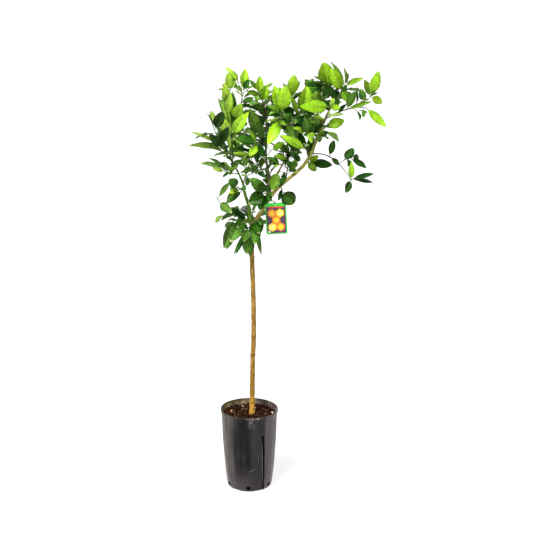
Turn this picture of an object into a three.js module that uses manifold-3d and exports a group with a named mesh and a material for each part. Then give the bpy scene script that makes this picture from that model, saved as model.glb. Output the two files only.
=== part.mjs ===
// A young navelate orange tree in a black nursery pot, 1.46 m tall. Millimetres, +Z up.
// The origin is the middle of the pot's underside and the front is towards -Y.
// Trunk, boughs and leafy masses are separate pieces, each 0.3 mm clear of its neighbours.
import * as THREE from 'three';
import Module from 'manifold-3d';

const wasm = await Module();
wasm.setup();
const { Manifold } = wasm;

// Named sizes.
const GAP = 0.3;
const POT_HEIGHT = 280;
const POT_RIM = 100;
const POT_WALL = 1.6;
const POT_FLOOR = 3;
const POT_SIDES = 36;
const SLOT_COUNT = 6;
const SLOT = { width: 12, height: 12, middle: 14, turn: -2 };
const GROOVE = { half: 2.3, depth: 0.9, angle: 38 };
const LIMB_SIDES = 8;
const TWIG_SIDES = 3;
const SOIL_LEVEL = 255.7;
const TRUNK_CUT = SOIL_LEVEL + GAP;
const LABEL = { width: 70, height: 105, thick: 1, corner: 6, lean: 3.3, holeRadius: 2.8, place: [92, -40, 958.5] };
const TIE = { radius: 0.9, place: 0.19, clear: 1.9, angles: [125, 75, 25, -25, -75, -125] };

const UP = new THREE.Vector3(0, 0, 1);
const FRONT = new THREE.Vector3(0, -1, 0);
const radians = THREE.MathUtils.degToRad;
const point = (p) => new THREE.Vector3(...p);

// The dice of the growth rule: a linear congruence, so every run grows the same tree.
class Dice {
  constructor(seed) {
    this.state = (Math.imul(seed, 2654435761) + 12345) >>> 0;
    for (let k = 0; k < 3; k += 1) this.roll();
  }

  roll() {
    this.state = (Math.imul(this.state, 1664525) + 1013904223) >>> 0;
    return this.state / 4294967296;
  }

  around(spread) {
    return (this.roll() * 2 - 1) * spread;
  }
}

// A tapering line of wood: a curve and a radius that falls from its root to its tip.
class Wood {
  constructor(curve, radii, flare = 0) {
    this.curve = curve;
    this.radii = radii;
    this.flare = flare;
  }

  at(t) {
    return this.curve.getPoint(t);
  }

  along(t) {
    const low = this.at(Math.max(0, t - 0.01));
    return this.at(Math.min(1, t + 0.01)).sub(low).normalize();
  }

  radius(t) {
    const straight = this.radii[0] + (this.radii[1] - this.radii[0]) * t;
    return straight + this.flare * (0.6 * (1 - t) ** 6 + 0.4 * Math.exp(-t * 30));
  }
}

const limb = (points, radii, flare) => {
  const curve = new THREE.CatmullRomCurve3(points.map(point), false, 'catmullrom', 0.5);
  return new Wood(curve, radii, flare);
};

const bowed = (start, end, bow, radii) => {
  const middle = start.clone().add(end).multiplyScalar(0.5).add(bow);
  return new Wood(new THREE.QuadraticBezierCurve3(start, middle, end), radii);
};

// Solids.

const fromArrays = (positions, faces) => {
  const mesh = { numProp: 3, vertProperties: new Float32Array(positions), triVerts: new Uint32Array(faces) };
  const solid = new Manifold(new wasm.Mesh(mesh));
  if (solid.volume() >= 0) return solid;
  const turned = [];
  for (let k = 0; k < faces.length; k += 3) turned.push(faces[k], faces[k + 2], faces[k + 1]);
  return new Manifold(new wasm.Mesh({ ...mesh, triVerts: new Uint32Array(turned) }));
};

const middle = (ring) => ring.reduce((sum, p) => sum.add(p), new THREE.Vector3()).divideScalar(ring.length);

// A skin over rings of equally many points, closed by a fan to one point at either end.
const loft = (rings, first = middle(rings[0]), last = middle(rings.at(-1))) => {
  const count = rings[0].length;
  const points = [first, ...rings.flat(), last];
  const faces = [];
  const corner = (row, k) => 1 + row * count + (k % count);
  for (let k = 0; k < count; k += 1) faces.push(0, corner(0, k + 1), corner(0, k));
  for (let row = 0; row + 1 < rings.length; row += 1) {
    for (let k = 0; k < count; k += 1) {
      faces.push(corner(row, k), corner(row, k + 1), corner(row + 1, k + 1));
      faces.push(corner(row, k), corner(row + 1, k + 1), corner(row + 1, k));
    }
  }
  const end = points.length - 1;
  for (let k = 0; k < count; k += 1) {
    faces.push(end, corner(rings.length - 1, k), corner(rings.length - 1, k + 1));
  }
  return fromArrays(points.flatMap((p) => [p.x, p.y, p.z]), faces);
};

// A round bar along a piece of wood; the ring's first point is carried along without twist.
const bar = (wood, sides, steps, grow = 0, beyond = 0) => {
  const rings = [];
  let across = new THREE.Vector3(1, 0.2, 0.1);
  for (let step = 0; step <= steps; step += 1) {
    const t = step / steps;
    const tangent = wood.along(t);
    const centre = wood.at(t);
    if (step === 0) centre.addScaledVector(tangent, -beyond);
    if (step === steps) centre.addScaledVector(tangent, beyond);
    across = across.clone().addScaledVector(tangent, -across.dot(tangent)).normalize();
    const other = tangent.clone().cross(across);
    const radius = wood.radius(t) + grow;
    rings.push(Array.from({ length: sides }, (_, k) => {
      const angle = (2 * Math.PI * k) / sides;
      const spoke = across.clone().multiplyScalar(Math.cos(angle) * radius);
      return centre.clone().add(spoke).addScaledVector(other, Math.sin(angle) * radius);
    }));
  }
  return loft(rings);
};

// Any three.js geometry as a solid, with equal corners joined and flat faces dropped.
const toSolid = (geometry) => {
  const place = geometry.getAttribute('position');
  const order = geometry.index ? geometry.index.array : Array.from({ length: place.count }, (_, k) => k);
  const seen = new Map();
  const positions = [];
  const known = Array.from({ length: place.count }, (_, k) => {
    const corner = [place.getX(k), place.getY(k), place.getZ(k)];
    const key = corner.map((value) => Math.round(value * 1e4)).join();
    if (!seen.has(key)) {
      seen.set(key, seen.size);
      positions.push(...corner);
    }
    return seen.get(key);
  });
  const faces = [];
  for (let k = 0; k < order.length; k += 3) {
    const [a, b, c] = [known[order[k]], known[order[k + 1]], known[order[k + 2]]];
    if (a !== b && b !== c && a !== c) faces.push(a, b, c);
  }
  return fromArrays(positions, faces);
};

const lathe = (profile, segments) => {
  const loop = [...profile, profile[0]].map(([r, z]) => new THREE.Vector2(r, z));
  return toSolid(new THREE.LatheGeometry(loop, segments).rotateX(Math.PI / 2));
};

// The leaf.

const PETIOLE = 0.14;
const LEAF_STATIONS = [PETIOLE, 0.4, 0.76];
const LEAF_FULLNESS = 1.05;
const KEEL = 1.1;
const LEAF_SUNK = 1.2;

// Share of the half width at u, from the foot of the stalk (0) to the tip (1).
const outline = (u) => {
  if (u <= PETIOLE) return 0.05;
  const s = (u - PETIOLE) / (1 - PETIOLE);
  return Math.max(0, Math.sin(Math.PI * s ** 0.92)) ** 0.7 * (1 - 0.06 * s);
};

const midrib = (leaf, u) => leaf.root.clone()
  .addScaledVector(leaf.along, leaf.length * u)
  .addScaledVector(leaf.face, -leaf.length * leaf.arch * u * u);

// An arching blade with a keel along its back; its foot is sunk past the middle of the twig.
const leafSolid = (leaf) => {
  const side = leaf.along.clone().cross(leaf.face);
  const rings = LEAF_STATIONS.map((u) => {
    const half = Math.max(KEEL, 0.5 * leaf.width * outline(u) * LEAF_FULLNESS);
    const edge = midrib(leaf, u).addScaledVector(leaf.face, half * Math.tan(leaf.fold));
    return [
      edge.clone().addScaledVector(side, half),
      edge.clone().addScaledVector(side, -half),
      midrib(leaf, u).addScaledVector(leaf.face, -KEEL),
    ];
  });
  return loft(rings, midrib(leaf, 0).addScaledVector(leaf.along, -LEAF_SUNK), midrib(leaf, 1));
};

// Fifteen points over the blade, which keep it clear of other leaves and of the wood.
const leafSamples = (leaf) => {
  const side = leaf.along.clone().cross(leaf.face);
  return [0.3, 0.45, 0.6, 0.75, 0.9].flatMap((u) => {
    const reach = 0.425 * leaf.width * outline(u);
    return [0, reach, -reach].map((step) => midrib(leaf, u).addScaledVector(side, step));
  });
};

// The tree's growth: every mass has one stem, side shoots on it, and leaves on both.
class Tree {
  constructor(limbs) {
    this.limbs = limbs;
    this.masses = [];
    this.kept = [];
    this.skipped = 0;
    this.bark = Object.values(limbs).flatMap((wood) => Array.from({ length: 25 }, (_, k) => (
      { at: wood.at(k / 24), radius: wood.radius(k / 24) })));
  }

  mass({ name, on, t, to, bow, radii, seed, shoots = [], show = [], rule = null }) {
    const parent = this.limbs[on];
    const start = parent.at(t);
    const stem = bowed(start, point(to), point(bow), radii);
    const twigs = [{ wood: stem, rule }];
    for (const [s, tip, bend, shootRule] of shoots) {
      const thick = Math.max(1.2, stem.radius(s) * 0.75);
      twigs.push({ wood: bowed(stem.at(s), point(tip), point(bend), [thick, 1]), rule: shootRule });
    }
    const mass = { name, twigs, dice: new Dice(seed), leaves: [] };
    this.masses.push(mass);
    for (const { wood } of twigs) {
      for (let k = 1; k <= 8; k += 1) this.kept.push({ at: wood.at(k / 8), owner: name, wood: true });
    }
    for (const row of show) this.shown(mass, ...row);
  }

  // True when no point is near the bark, another mass or a leaf of its own mass.
  clear(samples, name) {
    const bare = samples.every((p) => this.bark.every(({ at, radius }) => p.distanceTo(at) > radius + 4));
    return bare && samples.every((p) => this.kept.every(({ at, owner, wood }) => {
      if (owner === name && wood) return true;
      return p.distanceTo(at) > (owner === name ? 5 : 9);
    }));
  }

  keep(mass, leaf) {
    mass.leaves.push(leaf);
    const samples = leafSamples(leaf);
    for (const at of samples) this.kept.push({ at, owner: mass.name });
    if (!leaf.lit) return;
    // The air in front of a young leaf that faces the light stays free of other leaves.
    for (let step = 20; step <= 80; step += 20) {
      for (const p of samples) {
        this.kept.push({ at: p.clone().addScaledVector(FRONT, step), owner: 'light' });
      }
    }
  }

  // A leaf set by hand: its tip's place, its width and its turn away from the front.
  shown(mass, which, t, tip, width, turn, age, arch = 0.12, fold = 14) {
    const root = mass.twigs[which].wood.at(t);
    const reach = point(tip).sub(root);
    const length = reach.length();
    const line = reach.clone().normalize();
    const face = FRONT.clone().addScaledVector(UP, 0.05);
    face.addScaledVector(line, -face.dot(line)).normalize();
    const side = line.clone().cross(face);
    if (side.z + 0.35 * side.x < 0) side.negate();
    face.multiplyScalar(Math.cos(radians(turn))).addScaledVector(side, Math.sin(radians(turn)));
    const along = reach.addScaledVector(face, length * arch).normalize();
    face.addScaledVector(along, -face.dot(along)).normalize();
    const lit = age > 0.5;
    this.keep(mass, { root, along, face, length, width, arch, fold: radians(fold), age, lit });
  }

  // The leaf rule: leaves in a 3/8 spiral, each tried a few ways round and left out if none is clear.
  leafy(mass, wood, [count, turn, size, age, first, droop]) {
    for (let k = 0; k < count; k += 1) {
      const last = k === count - 1;
      const t = last ? 1 : first + ((1 - first) * (k + 0.6)) / count;
      const tangent = wood.along(t);
      const ref = Math.abs(tangent.z) < 0.95 ? tangent.clone().cross(UP).normalize() : new THREE.Vector3(1, 0, 0);
      const other = ref.clone().cross(tangent);
      const full = size * (0.82 + 0.3 * mass.dice.roll()) * (last ? 0.9 : 1);
      const wide = 0.44 + 0.12 * mass.dice.roll();
      const pitch = radians((last ? 25 : 52) + mass.dice.around(12));
      const roll = radians(mass.dice.around(28));
      const arch = 0.06 + 0.14 * mass.dice.roll();
      const fold = radians(8 + 14 * mass.dice.roll());
      const tone = Math.min(1, Math.max(0, age + mass.dice.around(0.16) + 0.12 * (t - 0.6)));
      const grown = [0, 35, -35, 70, -70, 110, -110].some((swing, attempt) => {
        const phi = radians(turn + 135 * k + swing);
        const length = full * (1 - 0.05 * attempt);
        const along = tangent.clone().multiplyScalar(Math.cos(pitch))
          .addScaledVector(ref, Math.sin(pitch) * Math.cos(phi))
          .addScaledVector(other, Math.sin(pitch) * Math.sin(phi))
          .addScaledVector(UP, -droop * (last ? 0.4 : 1)).normalize();
        const face = UP.clone().multiplyScalar(0.75).addScaledVector(tangent, 0.55);
        face.addScaledVector(along, -face.dot(along)).normalize();
        const side = along.clone().cross(face);
        face.multiplyScalar(Math.cos(roll)).addScaledVector(side, Math.sin(roll));
        const leaf = { root: wood.at(t), along, face, length, width: length * wide, arch, fold, age: tone };
        if (!this.clear(leafSamples(leaf), mass.name)) return false;
        this.keep(mass, leaf);
        return true;
      });
      if (!grown) this.skipped += 1;
    }
  }

  grow() {
    for (const mass of this.masses) {
      for (const { wood, rule } of mass.twigs) {
        if (rule) this.leafy(mass, wood, rule);
      }
    }
  }
}

// Trunk and boughs, root first.
const LIMBS = {
  trunk: limb([[9.5, 0, 254], [11, 0, 352], [13, 2, 468], [16, 3, 527], [16, 2, 640], [13, 0, 760],
    [11, -2, 822], [11, -2, 880], [12, 0, 938]], [8.3, 8.0], 1.8),
  bough_right: limb([[16, 0, 930], [87, -28, 1047], [184, -30, 1137], [231, -10, 1233], [260, 8, 1300]],
    [7.4, 3.8]),
  bough_left: limb([[9, -2, 930], [0, -8, 998], [-11, -12, 1034], [-18, -10, 1075]], [6.8, 4.2]),
  bough_far_left: limb([[-18, -10, 1072], [-35, -14, 1112], [-57, -18, 1154]], [3.4, 2.6]),
  bough_mid: limb([[74, -22, 1026], [66, 6, 1102], [58, 18, 1158], [60, 14, 1258], [58, 10, 1290]],
    [4.6, 3.0]),
  bough_back: limb([[44, -8, 994], [73, 50, 1045], [112, 100, 1115]], [4.6, 3.2]),
};

// Each mass: where its stem leaves a limb and where it ends, its side shoots
// [place on the stem, tip, bow, rule], its leaves set by hand
// [twig, place, tip, width, turn, age, arch, fold] and the rule for the rest
// [count, first turn, length, age, first place, droop]. Age 1 is the lightest, youngest green.
const MASSES = [
  {
    name: 'left_spire', on: 'bough_far_left', t: 0.66, to: [-120, -48, 1286], bow: [-12, -6, -6], radii: [2.3, 1.0], seed: 3,
    show: [
      [0, 0.44, [-184, -60, 1246], 15, 40, 0.55, 0.3],
      [0, 0.30, [-188, -45, 1198], 28, 48, 0.72, 0.35, 26],
      [0, 0.44, [-124, -75, 1242], 28, 0, 0.15],
      [0, 0.86, [-132, -56, 1306], 14, 72, 0.4],
      [0, 0.90, [-120, -20, 1310], 22, 30, 0.85],
      [0, 0.80, [-78, -72, 1314], 34, 0, 0.2],
      [0, 0.55, [-60, -85, 1266], 28, 0, 0.02],
      [0, 0.48, [-66, -30, 1240], 18, 20, 0.12],
    ],
    rule: [4, 20, 70, 0.3, 0.2, 0.2],
  },
  {
    name: 'left_crest', on: 'bough_far_left', t: 1, to: [-17, 0, 1346], bow: [-32, 6, 0], radii: [2.5, 1.5], seed: 5,
    shoots: [
      [0.97, [-32, 12, 1400], [6, 3, 2], [3, 60, 66, 0.7, 0.5, 0.05]],
      [0.93, [-14, -14, 1380], [2, -3, 0], [3, 10, 62, 0.6, 0.3, 0.1]],
      [0.42, [-54, -22, 1386], [-24, -4, 6], [2, 40, 62, 0.6, 0.8, 0.05]],
    ],
    show: [
      [1, 0.99, [-71, 4, 1446], 18, 20, 0.85, 0.4],
      [3, 0.92, [-64, -30, 1432], 26, 10, 0.78],
      [3, 0.62, [-76, -35, 1400], 26, 10, 0.88],
      [3, 0.70, [-78, -60, 1386], 28, 20, 0.8],
      [3, 0.34, [-56, -45, 1370], 28, 0, 0.72],
      [3, 0.95, [-37, -30, 1406], 16, 30, 0.5],
      [1, 0.98, [-50, 30, 1436], 12, 30, 0.3],
      [2, 0.98, [-9, -20, 1443], 29, 0, 0.97],
      [2, 0.90, [5, -30, 1412], 20, 0, 0.2],
      [0, 0.93, [20, -10, 1350], 18, 20, 0.35],
      [0, 0.66, [-23, -45, 1337], 36, 0, 0.9],
      [0, 0.40, [2, -60, 1308], 36, 0, 1],
      [0, 0.52, [-40, 10, 1320], 20, 0, 0.15],
      [0, 0.42, [-70, 10, 1316], 12, 50, 0.85],
      [0, 0.36, [-90, -30, 1290], 34, 10, 0.82],
      [3, 0.10, [-98, 0, 1353], 18, 20, 0.5],
      [0, 0.62, [-50, -24, 1372], 26, 0, 0.4],
      [0, 0.12, [-66, -30, 1246], 12, 0, 0.85],
      [0, 0.20, [-28, -20, 1262], 14, 20, 0.55],
    ],
    rule: [5, 75, 76, 0.45, 0.3, 0.2],
  },
  {
    name: 'left_fan', on: 'bough_far_left', t: 0.4, to: [-80, -50, 1118], bow: [4, 0, -8], radii: [2.1, 1.1], seed: 8,
    show: [
      [0, 0.98, [-150, -80, 1146], 24, 55, 0.35, 0.35],
      [0, 0.90, [-126, -50, 1158], 20, 60, 0.12, 0.35],
      [0, 0.95, [-115, -92, 1133], 16, 20, 0.88],
      [0, 0.50, [-80, -60, 1152], 12, 30, 0.5],
      [0, 0.60, [-84, -20, 1094], 14, 50, 0.1],
    ],
    rule: [2, 40, 60, 0.3, 0.5, 0.3],
  },
  {
    name: 'left_mid', on: 'bough_left', t: 0.78, to: [-36, -42, 1066], bow: [0, -4, -6], radii: [2.2, 1.2], seed: 11,
    show: [
      [0, 0.95, [-64, -70, 1092], 34, 20, 0.15],
      [0, 0.80, [-60, -55, 1053], 14, 40, 0.75],
      [0, 0.90, [-70, -76, 1020], 18, 30, 0.3],
      [0, 0.50, [-64, -70, 1046], 16, 30, 0.88],
      [0, 0.20, [-74, -56, 1010], 22, 20, 0.2],
    ],
    rule: [2, 200, 66, 0.2, 0.5, 0.35],
  },
  {
    name: 'skirt_left', on: 'trunk', t: 0.985, to: [-52, -36, 950], bow: [0, -2, 10], radii: [2.4, 1.4], seed: 13,
    shoots: [
      [0.97, [-105, -50, 1036], [-12, 0, 6], null],
    ],
    show: [
      [0, 0.60, [-58, -75, 888], 50, 10, 0.42],
      [0, 0.97, [-81, -50, 860], 34, 0, 0.35],
      [0, 0.80, [-74, -24, 850], 28, 10, 0.3],
      [1, 0.72, [-54, -84, 986], 30, 0, 0.38],
      [1, 0.86, [-58, -30, 1080], 18, 20, 0.35],
      [0, 0.30, [-36, -55, 932], 44, 10, 0.25],
      [0, 0.20, [-58, -4, 990], 22, 20, 0.1],
      [0, 0.90, [-66, 34, 900], 40, 30, 0.3],
    ],
  },
  {
    name: 'skirt_front', on: 'trunk', t: 0.955, to: [-4, -52, 928], bow: [0, 0, 8], radii: [2.3, 1.3], seed: 17,
    show: [
      [0, 0.95, [-14, -75, 889], 36, 0, 0.36],
      [0, 0.55, [-5, -50, 840], 40, 0, 0.42],
      [0, 0.80, [-50, -60, 838], 12, 10, 0.25],
      [0, 0.65, [-43, -30, 834], 15, 10, 0.22],
      [0, 0.40, [5, -32, 826], 28, 10, 0.4],
    ],
  },
  {
    name: 'skirt_right', on: 'trunk', t: 0.975, to: [24, -34, 950], bow: [0, -4, 4], radii: [2.3, 1.3], seed: 19,
    show: [
      [0, 0.98, [34, -62, 912], 38, 0, 0.22],
      [0, 0.60, [22, -58, 876], 40, 0, 0.45],
      [0, 0.80, [43, -30, 832], 16, 0, 0.35],
    ],
    rule: [3, 30, 64, 0.25, 0.5, 0.5],
  },
  {
    name: 'skirt_back', on: 'trunk', t: 0.965, to: [14, 62, 962], bow: [0, 0, 12], radii: [2.4, 1.3], seed: 21,
    shoots: [
      [0.5, [-30, 70, 960], [0, 0, 4], [4, 20, 78, 0.3, 0.4, 0.5]],
    ],
    rule: [5, 30, 82, 0.3, 0.3, 0.5],
  },
  {
    name: 'left_inner', on: 'bough_left', t: 0.95, to: [32, -46, 1206], bow: [-6, 0, 0], radii: [2.2, 1.1], seed: 23,
    shoots: [
      [0.12, [30, -60, 1118], [-4, 0, 10], [2, 60, 66, 0.15, 0.6, 0.3]],
    ],
    show: [
      [0, 0.99, [-46, -70, 1224], 34, 35, 0.15, 0.25],
      [0, 0.97, [-44, -34, 1218], 15, 0, 0.72, 0.15],
      [0, 0.78, [-64, -72, 1190], 18, 50, 0.08, 0.3],
      [0, 0.72, [-48, -50, 1176], 15, 20, 0.9],
      [0, 0.97, [6, -75, 1170], 26, 0, 0.85],
      [0, 0.98, [56, -65, 1165], 24, 0, 0.12],
      [0, 0.90, [30, -25, 1138], 16, 0, 0.02],
      [0, 0.97, [2, -55, 1252], 16, 20, 0.6],
      [1, 0.60, [22, -85, 1122], 14, 30, 0.02],
      [1, 0.98, [58, -80, 1098], 18, 30, 0.02],
    ],
  },
  {
    name: 'mid_shade', on: 'bough_right', t: 0.24, to: [54, -54, 1046], bow: [0, 0, -4], radii: [2.2, 1.2], seed: 31,
    show: [
      [0, 0.90, [2, -72, 1014], 46, 10, 0.2],
      [0, 0.70, [6, -76, 1098], 38, 0, 0.3],
    ],
    rule: [3, 110, 76, 0.15, 0.4, 0.3],
  },
  {
    name: 'mid_crest', on: 'bough_mid', t: 1, to: [30, 2, 1374], bow: [10, 0, 0], radii: [2.4, 1.2], seed: 29,
    shoots: [
      [0.35, [56, 30, 1350], [2, 0, 0], [3, 10, 62, 0.6, 0.4, 0.1]],
    ],
    show: [
      [0, 0.85, [38, -10, 1420], 26, 0, 0.84],
      [0, 0.55, [62, -18, 1390], 28, 0, 0.76],
      [0, 0.98, [6, -4, 1408], 15, 20, 0.62],
      [0, 0.80, [-4, -14, 1370], 20, 25, 0.62],
      [0, 0.06, [12, -30, 1336], 14, 30, 0.3],
      [0, 0.10, [86, -6, 1292], 14, 20, 0.15],
    ],
    rule: [5, 55, 70, 0.4, 0.25, 0.12],
  },
  {
    name: 'mid_low', on: 'bough_mid', t: 0.45, to: [42, -24, 1226], bow: [-14, 0, -6], radii: [2.2, 1.1], seed: 33,
    shoots: [
      [0.10, [78, -18, 1184], [0, 0, 0], null],
    ],
    show: [
      [0, 0.98, [4, -48, 1320], 40, 0, 0.3],
      [0, 0.25, [38, 4, 1118], 18, 0, 0.3],
      [1, 0.90, [120, -50, 1212], 22, 15, 0.55],
      [0, 0.60, [62, -62, 1232], 24, 20, 0.1],
    ],
    rule: [1, 20, 70, 0.12, 0.5, 0.3],
  },
  {
    name: 'centre_fan', on: 'bough_mid', t: 0.62, to: [110, -66, 1312], bow: [18, 0, -16], radii: [2.5, 1.5], seed: 37,
    shoots: [
      [0.97, [140, -52, 1364], [0, 0, 2], [4, 70, 80, 0.5, 0.35, 0.1]],
      [0.72, [168, -72, 1300], [0, 0, -4], [5, 20, 80, 0.3, 0.3, 0.2]],
    ],
    show: [
      [0, 0.97, [83, -85, 1394], 38, 0, 0.84],
      [0, 0.99, [122, -92, 1394], 48, 0, 0.88],
      [0, 0.92, [102, -62, 1390], 24, 0, 0.6],
      [1, 0.95, [149, -70, 1427], 36, 0, 0.93],
      [1, 0.90, [168, -40, 1406], 20, 20, 0.6],
      [0, 0.90, [82, -50, 1316], 36, 0, 0.25],
      [0, 0.80, [64, -98, 1210], 37, 0, 1],
      [2, 0.15, [148, -95, 1232], 32, 0, 0.42],
      [2, 0.70, [122, -40, 1324], 30, 0, 0.02],
      [2, 0.90, [138, -100, 1362], 20, 10, 0.6],
      [2, 0.60, [116, -110, 1306], 28, 10, 0.35],
    ],
    rule: [4, 80, 80, 0.2, 0.4, 0.25],
  },
  {
    name: 'centre_low', on: 'bough_right', t: 0.34, to: [130, -6, 1168], bow: [6, 4, 6], radii: [2.3, 1.1], seed: 41,
    shoots: [
      [0.42, [90, -40, 1142], [0, -4, 6], [5, 15, 52, 0.3, 0.5, 0.2]],
      [0.70, [164, 4, 1180], [0, 0, -4], [5, 45, 62, 0.15, 0.3, 0.2]],
      [0.25, [94, -44, 1116], [0, -4, 4], null],
    ],
    show: [
      [3, 0.95, [79, -68, 1056], 36, 0, 0.62],
      [0, 0.20, [97, -62, 1064], 18, 10, 0.12],
      [0, 0.35, [158, -20, 1118], 16, 20, 0.3],
      [0, 0.75, [84, -38, 1168], 18, 10, 0.75],
      [2, 0.40, [158, -30, 1178], 40, 10, 0.22],
      [0, 0.15, [112, -8, 1100], 22, 10, 0.2],
      [2, 0.50, [172, -8, 1146], 22, 10, 0.25],
      [0, 0.98, [118, -20, 1200], 20, 10, 0.15],
      [2, 0.95, [122, 10, 1206], 12, 40, 0.02],
    ],
    rule: [4, 60, 58, 0.25, 0.3, 0.25],
  },
  {
    name: 'round_leaf', on: 'bough_right', t: 0.30, to: [112, -30, 1048], bow: [0, 0, 2], radii: [1.9, 1.3], seed: 71,
    show: [
      [0, 0.98, [150, -30, 1005], 50, 0, 0.36],
      [0, 0.60, [98, -52, 1020], 16, 20, 0.02],
    ],
  },
  {
    name: 'bough_low', on: 'bough_right', t: 0.52, to: [200, 14, 1138], bow: [0, 2, -4], radii: [2.2, 1.2], seed: 53,
    show: [
      [0, 0.95, [231, -8, 1162], 22, 10, 0.72],
      [0, 0.90, [279, 20, 1127], 30, 10, 0.1],
      [0, 0.15, [224, -10, 1112], 24, 10, 0.5],
      [0, 0.80, [212, 44, 1228], 30, 0, 0.02],
    ],
  },
  {
    name: 'bough_leaf', on: 'bough_right', t: 0.57, to: [186, -50, 1190], bow: [0, 0, 2], radii: [1.8, 1.2], seed: 55,
    show: [
      [0, 0.90, [106, -78, 1236], 30, 15, 0.86, 0.25],
      [0, 0.99, [166, -30, 1240], 22, 0, 0.05],
    ],
  },
  {
    name: 'bough_inner', on: 'bough_right', t: 0.68, to: [170, -68, 1262], bow: [14, -8, -12], radii: [2.4, 1.3], seed: 43,
    shoots: [
      [0.6, [176, -58, 1306], [4, 0, 2], [3, 30, 74, 0.2, 0.3, 0.2]],
    ],
    show: [
      [0, 0.75, [144, -100, 1262], 20, 25, 0.9],
      [0, 0.30, [189, -84, 1238], 34, 20, 0.97],
      [0, 0.70, [181, -86, 1292], 36, 10, 0.3],
      [1, 0.95, [188, -76, 1392], 50, 0, 0.68],
      [1, 0.90, [222, -30, 1372], 36, 20, 0.5],
      [1, 0.30, [140, -50, 1300], 34, 20, 0.02],
    ],
    rule: [5, 50, 78, 0.06, 0.3, 0.25],
  },
  {
    name: 'bough_bright', on: 'bough_right', t: 0.88, to: [264, -62, 1328], bow: [0, -4, -4], radii: [2.1, 1.3], seed: 45,
    show: [
      [0, 0.98, [166, -112, 1331], 42, 0, 1, 0.1, 20],
      [0, 0.95, [296, -66, 1322], 22, 10, 0.7],
      [0, 0.20, [212, -30, 1292], 14, 40, 0.85],
    ],
  },
  {
    name: 'bough_outer', on: 'bough_right', t: 0.78, to: [256, 12, 1256], bow: [0, 0, -3], radii: [2.1, 1.2], seed: 47,
    show: [
      [0, 0.97, [314, 4, 1277], 34, 10, 0.68],
      [0, 0.80, [275, 34, 1258], 18, 20, 0.35],
      [0, 0.34, [252, 14, 1222], 26, 20, 0.12],
    ],
  },
  {
    name: 'far_right', on: 'bough_right', t: 0.93, to: [382, -34, 1322], bow: [0, 0, 21], radii: [2.4, 1.2], seed: 59,
    shoots: [
      [0.42, [398, -20, 1356], [6, 0, -6], [2, 20, 44, 0.45, 0.6, 0.2]],
    ],
    show: [
      [0, 0.98, [446, -44, 1260], 27, 0, 0.84],
      [1, 0.98, [418, -36, 1438], 34, 0, 0.92],
      [1, 0.97, [374, -30, 1410], 24, 10, 0.62],
      [1, 0.98, [434, -20, 1334], 26, 10, 0.75],
      [1, 0.72, [361, -40, 1382], 25, 0, 0.42],
      [1, 0.45, [350, -10, 1380], 14, 50, 0.15],
      [1, 0.98, [422, -4, 1367], 12, 50, 0.15],
      [0, 0.50, [399, -50, 1342], 15, 20, 0.58],
      [0, 0.30, [318, -30, 1332], 14, 20, 0.05],
      [1, 0.12, [346, -24, 1374], 26, 10, 0.3],
    ],
  },
  {
    name: 'top_cluster', on: 'bough_right', t: 1, to: [316, 34, 1386], bow: [0, 2, 0], radii: [2.9, 1.4], seed: 61,
    shoots: [
      [0.30, [262, 24, 1386], [6, 0, 6], [5, 35, 76, 0.5, 0.4, 0.15]],
      [0.15, [226, 10, 1350], [4, 0, 4], [5, 60, 76, 0.35, 0.4, 0.2]],
    ],
    show: [
      [1, 0.95, [244, 14, 1462], 54, 0, 0.72],
      [0, 0.82, [269, -8, 1446], 42, 0, 0.93],
      [0, 0.98, [272, 44, 1458], 16, 30, 0.62, 0.45],
      [1, 0.90, [184, 10, 1384], 40, 10, 0.28, 0.2, 8],
      [0, 0.97, [374, 30, 1410], 20, 30, 0.66, 0.3],
      [0, 0.85, [328, 0, 1334], 30, 0, 0.56],
      [1, 0.40, [240, -22, 1386], 42, 0, 0.22],
      [2, 0.60, [208, -14, 1352], 34, 20, 0.5],
      [0, 0.60, [278, 10, 1376], 22, 0, 0.12],
      [0, 0.25, [240, -12, 1332], 34, 0, 0.2],
      [0, 0.40, [302, 0, 1338], 26, 0, 0.2],
    ],
    rule: [6, 70, 70, 0.35, 0.3, 0.2],
  },
  {
    name: 'droop', on: 'bough_right', t: 0.58, to: [347, 56, 1067], bow: [6, 0, 64], radii: [2.2, 1.1], seed: 67,
    shoots: [
      [0.66, [350, 80, 1144], [0, 0, 10], [2, 235, 44, 0.3, 0.5, 0.3]],
    ],
    show: [
      [0, 0.42, [284, 34, 1208], 22, 0, 0.28],
      [0, 0.45, [301, 24, 1126], 18, 20, 0.3],
      [1, 0.35, [350, 54, 1180], 30, 0, 0.32],
      [1, 0.80, [398, 80, 1108], 22, 20, 0.3],
      [1, 0.95, [372, 96, 1142], 22, 20, 0.28],
      [0, 0.98, [342, 36, 1136], 21, 0, 0.96],
      [0, 0.97, [421, 48, 1095], 18, 20, 0.22],
      [0, 0.96, [419, 62, 1062], 16, 30, 0.18],
      [0, 0.97, [326, 44, 1030], 24, 0, 0.28],
    ],
  },
  {
    name: 'back_right', on: 'bough_back', t: 1, to: [200, 175, 1250], bow: [0, 6, 0], radii: [3.0, 1.4], seed: 73,
    shoots: [
      [0.5, [130, 200, 1262], [0, 0, 0], [6, 35, 80, 0.4, 0.3, 0.2]],
      [0.7, [250, 170, 1224], [0, 0, 6], [5, 80, 74, 0.4, 0.3, 0.2]],
    ],
    rule: [8, 20, 82, 0.35, 0.2, 0.2],
  },
  {
    name: 'back_left', on: 'bough_back', t: 0.45, to: [0, 140, 1200], bow: [6, 8, 0], radii: [2.8, 1.4], seed: 79,
    shoots: [
      [0.45, [-50, 130, 1150], [0, 0, 4], [5, 10, 80, 0.3, 0.3, 0.2]],
      [0.7, [50, 160, 1250], [0, 0, 4], [5, 50, 80, 0.4, 0.3, 0.2]],
    ],
    rule: [8, 60, 80, 0.3, 0.2, 0.2],
  },
  {
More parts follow.
